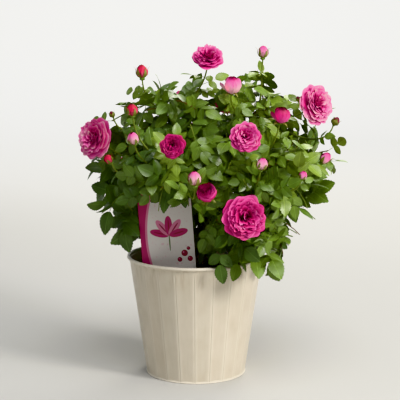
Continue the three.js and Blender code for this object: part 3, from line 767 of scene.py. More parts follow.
bark = Finish("cane_bark", Roughness=0.6)
grain = bark.speckle(0.0025, (1, 1, 0.2), 5)
aged = bark.maths("MAXIMUM", 1 - bark.fade(bark.split()[2], *AGED_REACH),
                  bark.fade(grain, 0.6, 0.75) * 0.5)
green_bark = bark.blend(bark.speckle(0.012), linear(72, 92, 34), linear(104, 118, 52))
brown_bark = bark.blend(grain, linear(70, 56, 36), linear(126, 108, 74))
bark_finish = bark.dress(bark.blend(aged, green_bark, brown_bark), relief=grain, depth=0.0008)
thorn_finish = mottled("thorn_skin", 0.002, (120, 52, 34), (158, 96, 62), 0.5)

cane_dice = Dice(FIRST_SEED)
for mass in masses:
    cane_heap = Heap()
    cane = mass["cane"]
    shares = np.linspace(0, 1, CANE_STEPS)[:, None]
    along = shares * cane.length()
    radii = CANE_RADII[0] + (CANE_RADII[1] - CANE_RADII[0]) * shares
    swelling = JOINT_SWELLING * np.exp(-(((along / JOINT_EVERY) % 1 - 0.5) / JOINT_WIDTH) ** 2)
    ridges = [[ridge_at(turn * math.tau / CANE_SIDES, distance * RIDGES_ALONG + len(mass["name"]))
               for turn in range(CANE_SIDES)] for distance in along[:, 0]]
    radii = radii * (1 + swelling + RIDGE_HEIGHT * np.array(ridges))
    add_tube(cane_heap, cane.at(shares[:, 0]), radii, CANE_SIDES, 0)
    add_thorns(cane_heap, cane, CANE_RADII[1], cane_dice, THORN_LENGTH, 1)
    cane_piece = cane_heap.make(f"barked_cane_{mass['name']}", [bark_finish, thorn_finish],
                                math.radians(50))
    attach(cane_piece, "root")
    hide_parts(f"cane_{mass['name']}")


# Twigs and stalks: each mass of the crown branches from one stem. Twigs run from it to places spread
# evenly over the crown, side twigs grow on from them, and each flower stands on a stalk of its own.
# The bark is yellow-green, and reddish on some of the wood.

STEM_RADII = (0.0030, 0.0022)
STALK_RADII = (0.0019, 0.0014)
TWIG_RADII = (0.0020, 0.0012)
SPRIG_RADII = (0.0012, 0.0009)
TWIG_ROUNDS = ((74, 0.74), (30, 0.42))    # how many twigs, and how far out they end in the crown
TWIG_SPREAD = (0.88, 1.08)
TWIG_STARTS = (0.25, 0.7)             # the first place on the stem, and over how much of it they spread
STALK_START = 0.82
BEND_AT = 0.45                        # how far along a twig or a stalk the point lies that bends it
RED_SHARE = 0.25
OPEN_TOP = 0.24                       # how much nearer the dense part of the crown keeps at its top
SPRIG_SHARES = [0.36, 0.54, 0.7, 0.86]
SPRIG_LENGTHS = (0.045, 0.075)
SPRIG_WAY = (0.5, 0.55, 0.1)          # how far it heads along its twig, outwards and up
SPRIG_SHORT = 0.06                    # how much nearer it keeps than its leaves
SHOOT_GIVE = 0.03                     # a shoot's leaves may pass its tip a little
LEAST_REACH = 0.9
GOLDEN_TURN = math.pi * (3 - math.sqrt(5))
GOLDEN_SHARE = 0.618
CARD_SHOWS = {"left": -0.108, "right": 0.004, "behind": -0.060, "low": 0.228, "high": 0.343,
              "above": 0.040, "clear": 0.024}
POT_CLEAR = 0.003
POT_INSIDE_CLEAR = 0.006
# How far twigs, side twigs and leaves keep within their mass's own space, and how far off rods
TWIG_CLEAR = (TWIG_RADII[0] + 0.001, 0.003)
SPRIG_CLEAR = (-0.010, 0.002)
LEAF_CLEAR = (-0.030, 0.004)
# The tips of shoots that fill the crown or stand out of it: sprays have side twigs, single ones few
# small leaves, and the leaves of hanging ones are large and show their faces
SHOOTS = {
    "spray": [
        (0.296, -0.050, 0.452), (0.262, -0.060, 0.372), (0.214, -0.118, 0.262), (-0.208, 0.030, 0.440),
        (0.230, 0.110, 0.300), (-0.120, 0.150, 0.300), (0.036, -0.164, 0.300),
        (0.020, 0.020, 0.272), (-0.030, 0.050, 0.286), (0.060, -0.030, 0.262), (0.018, -0.060, 0.268),
        (0.110, 0.010, 0.290), (-0.090, 0.030, 0.296), (0.012, 0.090, 0.268), (0.034, 0.130, 0.262),
        (-0.022, 0.126, 0.272), (0.060, 0.060, 0.380), (-0.066, 0.040, 0.500),
    ],
    "single": [
        (-0.150, -0.040, 0.566), (-0.052, -0.050, 0.594), (-0.095, -0.070, 0.574),
        (-0.012, -0.090, 0.566), (0.172, -0.060, 0.570), (0.148, -0.030, 0.606), (0.086, -0.060, 0.590),
        (-0.080, 0.090, 0.580), (0.130, 0.100, 0.584), (0.060, 0.060, 0.596), (0.290, -0.020, 0.420),
        (-0.205, -0.030, 0.520), (0.232, -0.040, 0.480), (-0.170, -0.050, 0.538),
        (-0.132, -0.060, 0.552), (-0.030, 0.020, 0.580), (0.030, -0.020, 0.576), (0.110, -0.070, 0.562),
        (0.205, -0.030, 0.550),
    ],
    "hanging": [
        (0.152, -0.150, 0.222), (0.048, -0.176, 0.230), (-0.213, -0.055, 0.352),
        (-0.218, -0.020, 0.378), (-0.205, -0.070, 0.330), (-0.152, -0.045, 0.272),
        (-0.114, -0.036, 0.294), (-0.162, -0.072, 0.328), (0.018, -0.140, 0.268),
    ],
}
# Where leaves stand on a shoot, their sizes, and how far before the shoot's tip its twig ends
SHOOT_LEAVES = {
    "spray": {"shares": [1, 0.86, 0.72, 0.58, 0.44], "sizes": (0.62, 1.0), "reach": 0.046},
    "single": {"shares": [1, 0.84, 0.66, 0.5], "sizes": (0.56, 0.90), "reach": 0.050},
    "hanging": {"shares": [1, 0.84, 0.66, 0.5], "sizes": (0.9, 1.16), "reach": 0.068},
}

# Each flower's place, its width, the way it faces, how far it has opened, and the tone of its petals:
# from 0, the darkest rose, to 8, the palest, and from 9 to 13 in red. A bud of tone 0 is still green
FLOWERS = [
    ((0.023, -0.060, 0.622), 0.060, (0.05, -0.66, 0.76), "open", 4),
    ((-0.190, -0.066, 0.470), 0.079, (-0.62, -0.74, 0.2), "open", 5),
    ((-0.041, -0.196, 0.470), 0.045, (-0.05, -1, 0.12), "open", 2),
    ((0.089, -0.196, 0.486), 0.056, (0.05, -1, 0.3), "open", 4),
    ((0.226, -0.066, 0.535), 0.076, (0.58, -0.76, 0.25), "open", 5),
    ((0.089, -0.196, 0.341), 0.080, (0.22, -1, 0.12), "open", 3),
    ((0.020, -0.212, 0.387), 0.034, (-0.1, -0.8, 0.6), "cup", 4),
    ((0.067, -0.112, 0.571), 0.032, (0.12, -0.45, 1), "half", 6),
    ((0.157, -0.122, 0.517), 0.030, (0.2, -0.35, 0.9), "half", 3),
    ((-0.101, -0.052, 0.592), 0.022, (-0.05, 0, 1), "bud", 11),
    ((-0.116, -0.122, 0.526), 0.020, (-0.1, -0.2, 1), "bud", 11),
    ((-0.113, -0.150, 0.477), 0.021, (-0.2, -0.5, 0.8), "bud", 7),
    ((-0.160, -0.120, 0.436), 0.016, (-0.5, -0.3, 0.7), "bud", 11),
    ((0.127, -0.032, 0.628), 0.020, (0.05, 0, 1), "bud", 6),
    ((0.266, -0.032, 0.498), 0.014, (0.5, 0, 0.9), "bud", 0),
    ((0.240, -0.100, 0.435), 0.020, (0.5, -0.3, 0.7), "bud", 6),
    ((0.194, -0.160, 0.411), 0.015, (0.3, -0.3, 0.8), "bud", 6),
    ((0.118, -0.196, 0.436), 0.020, (0.2, -0.3, 0.9), "bud", 7),
    ((-0.002, -0.214, 0.412), 0.023, (-0.05, -0.2, 1), "bud", 7),
    ((0.114, -0.040, 0.590), 0.008, (-0.5, 0, 0.8), "bud", 0),
    ((0.134, -0.036, 0.586), 0.008, (0.5, 0, 0.8), "bud", 0),
    ((0.193, -0.060, 0.5425), 0.009, (-0.4, 0, 0.9), "bud", 0),
    ((-0.158, -0.050, 0.513), 0.010, (-0.4, 0, 0.9), "bud", 0),
    ((0.150, 0.186, 0.442), 0.072, (0.5, 0.75, 0.35), "open", 5),
    ((0.024, 0.218, 0.452), 0.078, (0, 1, 0.15), "open", 4),
    ((-0.092, 0.184, 0.452), 0.064, (-0.5, 0.8, 0.3), "open", 5),
    ((0.060, 0.186, 0.512), 0.056, (0.05, 0.6, 0.8), "open", 4),
    ((0.222, 0.130, 0.398), 0.062, (0.85, 0.5, 0.2), "open", 3),
    ((-0.138, 0.138, 0.380), 0.058, (-0.8, 0.6, 0.2), "cup", 4),
    ((0.118, 0.206, 0.362), 0.040, (0.3, 0.9, 0.3), "cup", 5),
    ((-0.060, 0.206, 0.400), 0.021, (-0.2, 0.6, 0.8), "bud", 3),
    ((0.192, 0.170, 0.352), 0.021, (0.6, 0.6, 0.6), "bud", 6),
    ((-0.034, 0.158, 0.530), 0.020, (-0.1, 0.2, 1), "bud", 4),
]
LOW_RIGHT = (0.178, 0.285)            # where the crown starts to widen at its right side
LOW_RIGHT_SLOPE = 0.9
# From the middle of a flower to its foot, in half widths
CALYX_DEPTHS = {"open": 0.56, "cup": 1.0, "half": 1.2, "bud": 1.35}
STALK_IN_HIP = 0.8
SIDE_BUD = 0.012                      # buds narrower than this branch from a stalk close by
SIDE_BUD_START = 0.78
SIDE_BUD_REACH = 0.07
# How far in front of a flower no leaf comes
FLOWER_OPENING = {"open": 0.045, "cup": 0.018, "half": 0.018, "bud": 0.018}
MASS_CENTRES = np.array([mass["centre"] for mass in masses])


def nearest_mass(place):
    return int(np.argmin(np.linalg.norm(MASS_CENTRES - place, axis=1)))


class Obstacles:
    """Round rods that leaves and twigs keep clear of, each from one place to another."""

    def __init__(self):
        self.rods = []

    def add(self, start, end, radius, owner):
        self.rods.append((start, end, radius, owner))

    def add_sweep(self, path, radius, owner, steps=10):
        places = path.at(np.linspace(0, 1, steps + 1))
        for start, end in zip(places, places[1:]):
            self.add(start, end, radius, owner)

    def gather(self):
        self.start = np.array([rod[0] for rod in self.rods])
        self.run = np.array([rod[1] for rod in self.rods]) - self.start
        self.radius = np.array([rod[2] for rod in self.rods])
        self.owner = np.array([rod[3] for rod in self.rods])

    def clear(self, places, margin, owner):
        offset = places[:, None] - self.start
        share = (offset * self.run).sum(2) / np.maximum((self.run ** 2).sum(1), 1e-12)
        nearest = offset - np.clip(share, 0, 1)[..., None] * self.run
        far = np.linalg.norm(nearest, axis=2) > self.radius + margin
        return bool((far | (self.owner == owner)).all())


def in_own_space(owner, places, margin):
    """True where places lie nearer the middle of their own mass than that of any other."""
    across = np.delete(MASS_CENTRES, owner, 0) - MASS_CENTRES[owner]
    spans = np.linalg.norm(across, axis=1)
    out = (places - MASS_CENTRES[owner]) @ (across / spans[:, None]).T
    return bool((out < spans / 2 - margin).all())


def under_the_slope(places):
    """The crown draws in towards the pot at its lower right."""
    return places[:, 0] < LOW_RIGHT[0] + np.maximum(places[:, 2] - LOW_RIGHT[1], 0) * LOW_RIGHT_SLOPE


def crown_share(places):
    """How far out of the crown's middle places lie: 1 is on the crown's surface."""
    return np.linalg.norm((places - CROWN_MIDDLE) / CROWN_REACH, axis=-1)


def clear_of_pot_and_card(places):
    x, y, z = places.T
    out = np.hypot(x, y)
    inside = pot_inside_at(z) - POT_INSIDE_CLEAR - POT_CLEAR
    over_rim = (out > POT_RIM_RADIUS + POT_CLEAR) | (z > POT_HEIGHT + POT_CLEAR)
    in_pot = (out < inside) & (z > COMPOST_TOP + POT_CLEAR)
    beside = (x > CARD_SHOWS["left"]) & (x < CARD_SHOWS["right"])
    hides_card = beside & (y < CARD_SHOWS["behind"]) & (z > CARD_SHOWS["low"]) & (z < CARD_SHOWS["high"])
    near_card = np.abs(y - CARD_FOOT[1]) < CARD_SHOWS["clear"]
    at_card = beside & near_card & (z < CARD_SHOWS["high"] + CARD_SHOWS["above"])
    return bool(((over_rim | in_pot) & ~hides_card & ~at_card).all())


def is_clear(owner, places, inside, margin, reach):
    """True where places keep within the reach and their own mass, and clear of the pot and all rods."""
    return (clear_of_pot_and_card(places)
            and bool((crown_share(places) < reach).all())
            and in_own_space(owner, places, inside)
            and obstacles.clear(places, margin, owner))


obstacles = Obstacles()
for owner, mass in enumerate(masses):
    obstacles.add_sweep(mass["cane"], CANE_RADII[0], -1)
    obstacles.add_sweep(mass["stem"], STEM_RADII[0], owner)

stalks = []


def stalk_start(owner, end, width):
    """A tiny bud branches from a flower's stalk close by, and any other flower from its mass's stem."""
    if width < SIDE_BUD:
        for other, stalk in stalks:
            fork = stalk.at(SIDE_BUD_START)
            if other == owner and np.linalg.norm(fork - end) < SIDE_BUD_REACH:
                return fork
    return masses[owner]["stem"].at(STALK_START)


for at, width, faces, form, tone in FLOWERS:
    at = np.array(at)
    facing = unit(np.array(faces, float))
    owner = nearest_mass(at)
    end = at - facing * CALYX_DEPTHS[form] * STALK_IN_HIP * width / 2
    start = stalk_start(owner, end, width)
    run = np.linalg.norm(end - start)
    stalk = Sweep(start, end - unit(facing + UP * 0.8) * run * BEND_AT, end)
    stalks.append((owner, stalk))
    obstacles.add_sweep(stalk, STALK_RADII[0], owner)
    obstacles.add(at, at + facing * FLOWER_OPENING[form], width / 2, -1)
obstacles.gather()

crown_dice = Dice(FIRST_SEED)
twigs = []


def plan_twig(owner, end, order, kind="spray", reach=1.0):
    """A twig of the mass from its stem to this end, left out where it has no room."""
    stem = masses[owner]["stem"]
    share = TWIG_STARTS[0] + TWIG_STARTS[1] * (order * GOLDEN_SHARE % 1)
    start = stem.at(share)
    run = np.linalg.norm(end - start)
    path = Sweep(start, start + stem.heading(share) * run * BEND_AT, end)
    if is_clear(owner, path.at([0.3, 0.5, 0.7, 0.85, 1]), *TWIG_CLEAR, reach):
        outward = unit((end - CROWN_MIDDLE) / CROWN_REACH)
        twigs.append({"owner": owner, "path": path, "outward": outward, "radii": TWIG_RADII,
                      "kind": kind, "reach": reach})


def plan_sprigs(twig, order):
    """Side twigs that carry a twig on, within the crown's reach."""
    for index, share in enumerate(SPRIG_SHARES):
        start = twig["path"].at(share)
        heading = twig["path"].heading(share)
        spin = (order * len(SPRIG_SHARES) + index) * GOLDEN_TURN
        along, outward, up = SPRIG_WAY
        way = unit(heading * along + sideways(heading, spin) + twig["outward"] * outward + UP * up)
        end = start + way * crown_dice.roll(*SPRIG_LENGTHS)
        path = Sweep(start, start + unit(heading + way) * np.linalg.norm(end - start) * 0.5, end)
        if is_clear(twig["owner"], path.at([0.4, 0.7, 1]), *SPRIG_CLEAR, twig["reach"] - SPRIG_SHORT):
            twigs.append({**twig, "path": path, "radii": SPRIG_RADII})


for kind, tips in SHOOTS.items():
    for order, tip in enumerate(np.array(tips)):
        end = tip + unit(CROWN_MIDDLE - tip) * SHOOT_LEAVES[kind]["reach"]
        plan_twig(nearest_mass(end), end, order, kind, max(crown_share(tip) + SHOOT_GIVE, LEAST_REACH))
for count, ends in TWIG_ROUNDS:
    for order in range(count):
        height = 1 - 2 * (order + 0.5) / count
        level = math.sqrt(1 - height * height)
        turn = order * GOLDEN_TURN
        direction = np.array([math.cos(turn) * level, math.sin(turn) * level, height])
        dense = 1 - OPEN_TOP * max(height, 0) ** 0.5
        end = CROWN_MIDDLE + direction * CROWN_REACH * ends * dense * crown_dice.roll(*TWIG_SPREAD)
        plan_twig(nearest_mass(end), end, order, reach=dense)
for order, twig in enumerate(list(twigs)):
    if twig["kind"] == "spray":
        plan_sprigs(twig, order)

green_wood_finish = mottled("green_wood", 0.02, (88, 112, 36), (128, 140, 60), 0.5, 0.002, 0.0004)
red_wood_finish = mottled("young_red_wood", 0.02, (116, 70, 42), (122, 112, 50), 0.5)

wood = Heap()


def add_limb(path, radii, steps, sides, tone, thorns):
    """A stem, a twig or a stalk along its path, with thorns of this size in a cane's."""
    add_tube(wood, path.at(np.linspace(0, 1, steps)), np.linspace(*radii, steps), sides, tone)
    if thorns:
        add_thorns(wood, path, radii[1], crown_dice, THORN_LENGTH * thorns, 2)


for mass in masses:
    add_limb(mass["stem"], STEM_RADII, 12, 8, 0, 0.8)
for twig in twigs:
    tone = 1 if crown_dice.roll() < RED_SHARE else 0
    if twig["radii"] == TWIG_RADII:
        add_limb(twig["path"], TWIG_RADII, 9, 5, tone, 0.6)
    else:
        add_limb(twig["path"], SPRIG_RADII, 6, 5, tone, 0)
for owner, stalk in stalks:
    add_limb(stalk, STALK_RADII, 14, 8, 0, 0.45)
foliage_nodes = [f"foliage_{mass['name']}" for mass in masses]
wood_piece = wood.make("twigs_and_stalks", [green_wood_finish, red_wood_finish, thorn_finish],
                       math.radians(50))
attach(wood_piece, "root")
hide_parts(*foliage_nodes)


# The leaves: three to seven toothed leaflets on a thin stalk, folded along the midrib, with drooping
# tips. Those inside, low down and at the left are painted deep green as painted shade, and those in the
# light are painted yellow-green as painted light, with a random spread of greens besides.

SPRIG_LEAF_SHARES = [1, 0.66, 0.33]
STALK_LEAF_SHARES = [0.3, 0.45, 0.6, 0.74]
LEAF_TRIES = 9
LEAF_SPREADS = [0.85, 1.5, 0.5]
END_LEAF_SPREADS = [0.15, 0.5, 0.3]
LEAF_APART = 0.0100
LEAF_DROOP = 2.6                      # the fall of a leaf over a metre squared
LEAF_SINK = (0.25, 0.5)               # how far a leaf tips down, and further where it hangs
LEAF_WAY = (0.25, 0.3)                # how far it heads along its twig and outwards
LEAF_FACE = (0.45, 0.45, 0.7)         # how far its face turns outwards, up and to a side
LEAF_FACES_OUT = {"spray": 0.4, "single": 0.9, "hanging": 1.6}    # and to the front or the back
LEAF_PAST_BOX = 0.004
SEVEN_SHARE = 0.3
SMALL_LEAF_SIZES = (0.52, 0.80)
STALK_LEAF_REACH = 0.97
RACHIS = 0.058
RACHIS_RADII = (0.0009, 0.0005)
LEAFLET_LENGTH = 0.037
LEAFLET_HALF = 0.365
LEAFLET_GAPS = 8
LEAFLET_SPLAY = math.radians(60)
LEAFLET_SIZES = (0.92, 1.08)
LEAFLET_PITCH = (-0.1, 0.3)
LEAFLET_ROLL = (-0.3, 0.3)
LEAFLET_YAW = (-0.15, 0.15)
VEIN_ROW = 0.55                       # a row of points lies between the midrib and the edge
TOOTH = (0.02, 1.05)                  # how far on and how far out its point is
NOTCH = (0.3, 0.93)
RACHIS_LENGTHS = {7: 1.12, 5: 1, 3: 0.72}
# How far along a leaf's stalk each pair of leaflets sits, and its size beside the end leaflet's
LEAF_PAIRS = {
    7: [(0.34, 0.62), (0.58, 0.80), (0.82, 0.92)],
    5: [(0.40, 0.76), (0.74, 0.92)],
    3: [(0.55, 0.84)],
}
LEAFLET_HABITS = [
    {"fold": 0.22, "droop": 0.14, "curl": 0.05}, {"fold": 0.34, "droop": 0.22, "curl": 0.08},
    {"fold": 0.14, "droop": 0.08, "curl": -0.03}, {"fold": 0.27, "droop": 0.30, "curl": 0.10},
]
# These greens are dealt out partly as painted light and shade, lighter where the light falls and darker
# inside the crown, and partly at random.
LEAF_GREENS = [
    ("deep", (80, 106, 46)), ("dark", (96, 122, 50)), ("full", (112, 138, 56)),
    ("fresh", (130, 154, 62)), ("light", (148, 168, 78)), ("young", (166, 178, 98)),
]
MEAN_GREEN = 1.7
# Painted light: how many greens lighter the leaves are painted to the right, up and outwards, where the
# light falls.
GREEN_PAINTED_LIGHT_RISES = (0.9, 0.9, 1.2)         # how many greens lighter to the right, up and outwards
GREEN_SPREAD = 1.3
GREEN_EVEN = 0.7                      # of the way out of the crown, where being outside adds nothing
LEAF_VEINS = 7


def leaflet_half(share, first):
    """Half the width at a share of a leaflet's length. It doesn't narrow any more before first."""
    share = min(max(share, first), 0.985)
    return max(LEAFLET_HALF * math.sin(math.pi * share ** 0.86) ** 0.64 * (1.06 - 0.2 * share), 0.012)


def leaflet_model(fold, droop, curl):
    """The points, marks and faces of one leaflet of length 1, along X with its top towards +Z."""
    shares = np.linspace(0, 1, LEAFLET_GAPS + 1)
    points = [(share, 0) for share in shares]
    for side in (1, -1):
        for share in shares:
            half = leaflet_half(share, 0.03)
            points += [(share, side * half * VEIN_ROW), (share + TOOTH[0], side * half * TOOTH[1])]
        for share in shares[:-1]:
            notch = share + NOTCH[0] / LEAFLET_GAPS
            points.append((notch, side * leaflet_half(notch, 0.04) * NOTCH[1]))
    x, y = np.array(points).T
    z = np.abs(y) * fold - curl * (y / LEAFLET_HALF) ** 2 - droop * x ** 2.2
    marks = np.stack([0.5 + y / LEAFLET_HALF / 2.2, x], 1)
    stations = LEAFLET_GAPS + 1
    faces = []
    for order, side in enumerate((1, -1)):
        base = stations + order * (stations * 2 + LEAFLET_GAPS)
        for gap in range(LEAFLET_GAPS):
            middle, tip = base + gap * 2, base + gap * 2 + 1
            notch = base + stations * 2 + gap
            made = [[gap, gap + 1, middle + 2, middle], [middle, middle + 2, notch, tip],
                    [middle + 2, tip + 2, notch]]
            faces += [face[::side] for face in made]
    return np.stack([x, y, z], 1), marks, faces


def leaf_axes(direction, outward, spread, spin, faces_out):
    """A leaf's three axes: along it, across it and up from its face."""
    tilt = sideways(outward, spin) - UP * (LEAF_SINK[0] + LEAF_SINK[1] * max(-outward[2], 0))
    along = unit(direction * LEAF_WAY[0] + outward * LEAF_WAY[1] + tilt * spread)
    side = sideways(outward, spin * 1.7) * LEAF_FACE[2]
    open_side = np.array([0, math.copysign(faces_out, outward[1]), 0])
    facing = outward * LEAF_FACE[0] + UP * LEAF_FACE[1] + side + open_side
    normal = unit(facing - along * (facing @ along))
    return np.stack([along, np.cross(normal, along), normal], 1)


def leaflet_seats(count, scale):
    """Where each leaflet of a leaf sits, which way it points, and its length."""
    rachis = RACHIS * scale * RACHIS_LENGTHS[count]
    for share, size in LEAF_PAIRS[count]:
        for side in (1, -1):
            yield rachis * share, side * LEAFLET_SPLAY, LEAFLET_LENGTH * size * scale
    yield rachis, 0.0, LEAFLET_LENGTH * scale


def fall(x):
    return -LEAF_DROOP * x * x


leaflet_models = [leaflet_model(**habit) for habit in LEAFLET_HABITS]
leaf_middles = []
leaves = {"low": Heap(), "middle": Heap(), "top": Heap()}
low_corner, high_corner = [np.array(corner) for corner in construction_box]


def is_apart(middles):
    """True where no leaflet's middle comes too close to those of the leaves placed so far."""
    if not leaf_middles:
        return True
    return np.linalg.norm(np.array(leaf_middles)[:, None] - middles, axis=2).min() > LEAF_APART


def place_leaf(owner, path, share, outward, count, scale, spin, green, reach, kind="spray"):
    """Turns a leaf until it finds room, and leaves it out where it finds none."""
    root = path.at(share)
    direction = path.heading(share)
    seats = list(leaflet_seats(count, scale))
    checks = np.array([(x + math.cos(yaw) * length * part, math.sin(yaw) * length * part,
                        fall(x) - part * length * 0.2)
                       for x, yaw, length in seats for part in (0.5, 0.9)])
    spreads = END_LEAF_SPREADS if share == 1 else LEAF_SPREADS
    for attempt in range(LEAF_TRIES):
        axes = leaf_axes(direction, outward, spreads[attempt % len(spreads)],
                         spin + attempt * GOLDEN_TURN, LEAF_FACES_OUT[kind])
        places = root + checks @ axes.T
        middles = places[::2]
        if ((places > low_corner - LEAF_PAST_BOX).all() and (places < high_corner + LEAF_PAST_BOX).all()
                and is_apart(middles) and under_the_slope(places).all()
                and is_clear(owner, places, *LEAF_CLEAR, reach)):
            break
    else:
        return
    leaf_middles.extend(middles)
    heap = leaves[masses[owner]["name"].split("_")[0]]
    rachis_ends = np.linspace(0, seats[-1][0], 4)
    rachis = np.stack([rachis_ends, np.zeros(4), [fall(x) for x in rachis_ends]], 1)
    add_tube(heap, root + rachis @ axes.T, np.linspace(*RACHIS_RADII, 4) * scale, 3, green)
    for x, yaw, length in seats:
        points, marks, faces = leaflet_models[int(crown_dice.roll(0, len(leaflet_models)))]
        pitch = math.atan(2 * LEAF_DROOP * x) + crown_dice.roll(*LEAFLET_PITCH)
        roll = crown_dice.roll(*LEAFLET_ROLL)
        sized = points * length * crown_dice.roll(*LEAFLET_SIZES)
        local = turned(sized, (roll, pitch, yaw + crown_dice.roll(*LEAFLET_YAW)))
        heap.add(root + (local + np.array([x, 0, fall(x)])) @ axes.T, faces, green, marks)


def pick_green(place):
    """Painted light and shade: leaves are painted lighter towards the light, at the right and the top,
    and on the outside, and darker inside the crown, with a random spread added.
    """
    across, _, up = (place - CROWN_MIDDLE) / CROWN_REACH
    out = crown_share(place) - GREEN_EVEN
    light = MEAN_GREEN + across * GREEN_PAINTED_LIGHT_RISES[0] + up * GREEN_PAINTED_LIGHT_RISES[1] + out * GREEN_PAINTED_LIGHT_RISES[2]
    light += crown_dice.roll(-GREEN_SPREAD, GREEN_SPREAD)
    return int(min(max(light, 0), len(LEAF_GREENS) - 1))


for order, twig in enumerate(twigs):
    plan = SHOOT_LEAVES[twig["kind"]]
    shares = plan["shares"] if twig["radii"] == TWIG_RADII else SPRIG_LEAF_SHARES
    green = pick_green(twig["path"].at(1.0))
    for index, share in enumerate(shares):
        count = 7 if crown_dice.roll() < SEVEN_SHARE else 5
        if twig["reach"] > 1 and share == 1:
            count = 3
        spin = (order * len(shares) + index) * GOLDEN_TURN + crown_dice.roll()
        place_leaf(twig["owner"], twig["path"], share, twig["outward"], count,
                   crown_dice.roll(*plan["sizes"]), spin, green, twig["reach"], twig["kind"])
for order, (owner, stalk) in enumerate(stalks):
    outward = unit((stalk.end - CROWN_MIDDLE) / CROWN_REACH)
    reach = max(crown_share(stalk.end) * STALK_LEAF_REACH, 1)
    green = pick_green(stalk.end)
    for index, share in enumerate(STALK_LEAF_SHARES):
        spin = (order * len(STALK_LEAF_SHARES) + index) * GOLDEN_TURN + crown_dice.roll()
        place_leaf(owner, stalk, share, outward, 5 if index < 2 else 3,
                   crown_dice.roll(*SMALL_LEAF_SIZES), spin, green, reach)

leaf_finishes = []
for green_name, green_colour in LEAF_GREENS:
    blade = Finish(f"leaf_{green_name}", Roughness=0.34, Coat_Weight=0.15, Coat_Roughness=0.4)
    blade_u, blade_v = blade.marks()
    from_rib = blade.maths("ABSOLUTE", blade_u - 0.5)
    midrib = 1 - blade.fade(from_rib, 0.008, 0.03)
    slant = blade_v * LEAF_VEINS - from_rib * LEAF_VEINS
    vein = 1 - blade.fade(blade.maths("PINGPONG", slant, 0.5), 0.0, 0.09)
    pale = tuple(value * 1.5 + 0.015 for value in linear(*green_colour)[:3]) + (1,)
    dim = tuple(value * 0.72 for value in linear(*green_colour)[:3]) + (1,)
    blade_colour = blade.blend(blade.fade(blade.speckle(0.02), 0.35, 0.65), dim, linear(*green_colour))
    blade_colour = blade.blend(blade.maths("MAXIMUM", midrib * 0.7, vein * 0.15), blade_colour, pale)
    relief = 1 - blade.maths("MAXIMUM", midrib, vein * 0.5)
    leaf_finishes.append(blade.dress(blade_colour, relief=relief, depth=0.0004))
for ring_name, heap in leaves.items():
    leaf_piece = heap.make(f"leaves_{ring_name}", leaf_finishes, math.radians(28))
    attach(leaf_piece, "root")
    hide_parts(*[node for node in foliage_nodes if f"_{ring_name}_" in node])


# The blossom: full rosettes of many petals that crowd at the heart, cups, half-open roses and buds.
# Petals are magenta and lilac pink at their edges, and are painted crimson towards their feet as painted
# shade in the depths of the flower. Each flower sits on a green hip with five sepals.

PETAL_COLUMNS = 11
PETAL_ROWS = 6
PETAL_STEPS = 25
PETAL_WIDTHS = [0.30, 0.68, 0.96, 1.08, 1.08, 0.95]
PETAL_HEIGHTS = [0, 0.32, 0.58, 0.78, 0.92, 1]
# Painted shade: an opened petal's tones are darkest at its foot, deep in the flower.
PETAL_TONES = [-3, -2, -1, 0, 1]      # from the dark foot to the pale edge of an opened petal
BUD_TONES = [2, 1, 0, -1, -2]         # from the pale foot to the dark tip of a folded one
PETAL_WRAP = 0.2                      # no petal is bent tighter than this round the flower's middle
PETAL_VEINS = 9
ROSE_TONES = [
    ("depth", (92, 0, 32)), ("crimson", (128, 4, 52)), ("wine", (156, 14, 72)),
    ("ruby", (182, 30, 96)), ("magenta", (204, 50, 122)), ("rose", (222, 76, 150)),
    ("pink", (235, 106, 174)), ("lilac", (242, 146, 190)), ("blush", (246, 192, 202)),
]
RED_TONES = [
    ("garnet", (134, 6, 34)), ("cherry", (174, 12, 52)), ("scarlet", (206, 24, 70)),
    ("coral", (222, 54, 96)), ("salmon", (228, 114, 134)),
]
RED = len(ROSE_TONES)
# Sizes below are shares of half a flower's width, and angles are in degrees. Only SEPAL_LENGTH and
# SEPAL_HALF are in metres.
# Rings of petals from the outside in: how many, the radius and height of their foot, their length and
# half width, their lean from upright and how far they curl outwards
OPEN_RINGS = [
    (9, 0.10, -0.40, 1.00, 0.58, 60, 30), (9, 0.10, -0.36, 0.96, 0.52, 50, 38),
    (9, 0.11, -0.32, 0.90, 0.42, 40, 42), (9, 0.12, -0.28, 0.84, 0.37, 31, 42),
    (9, 0.12, -0.24, 0.78, 0.32, 23, 42),
]
OPEN_LENGTHS = (0.92, 1.04)
OPEN_LEANS = (-7, 7)
OPEN_CURLS = (-10, 12)
OPEN_RUFFLES = (0.03, 0.07)
OPEN_TONES = (-1.2, 2.0)
HEART_PETALS = 44
HEART_REACH = 0.50
HEART_TOP = 0.44
HEART_DOME = 0.4                      # how much lower the petals stand further out
HEART_TOPS = (-0.05, 0.03)
HEART_FOOT = -0.16
HEART_LEAN = -12
HEART_SPREAD = 70
HEART_CURL = 50
HEART_WIDTHS = (0.13, 0.20)
HEART_TONES = (-0.6, 2.4)
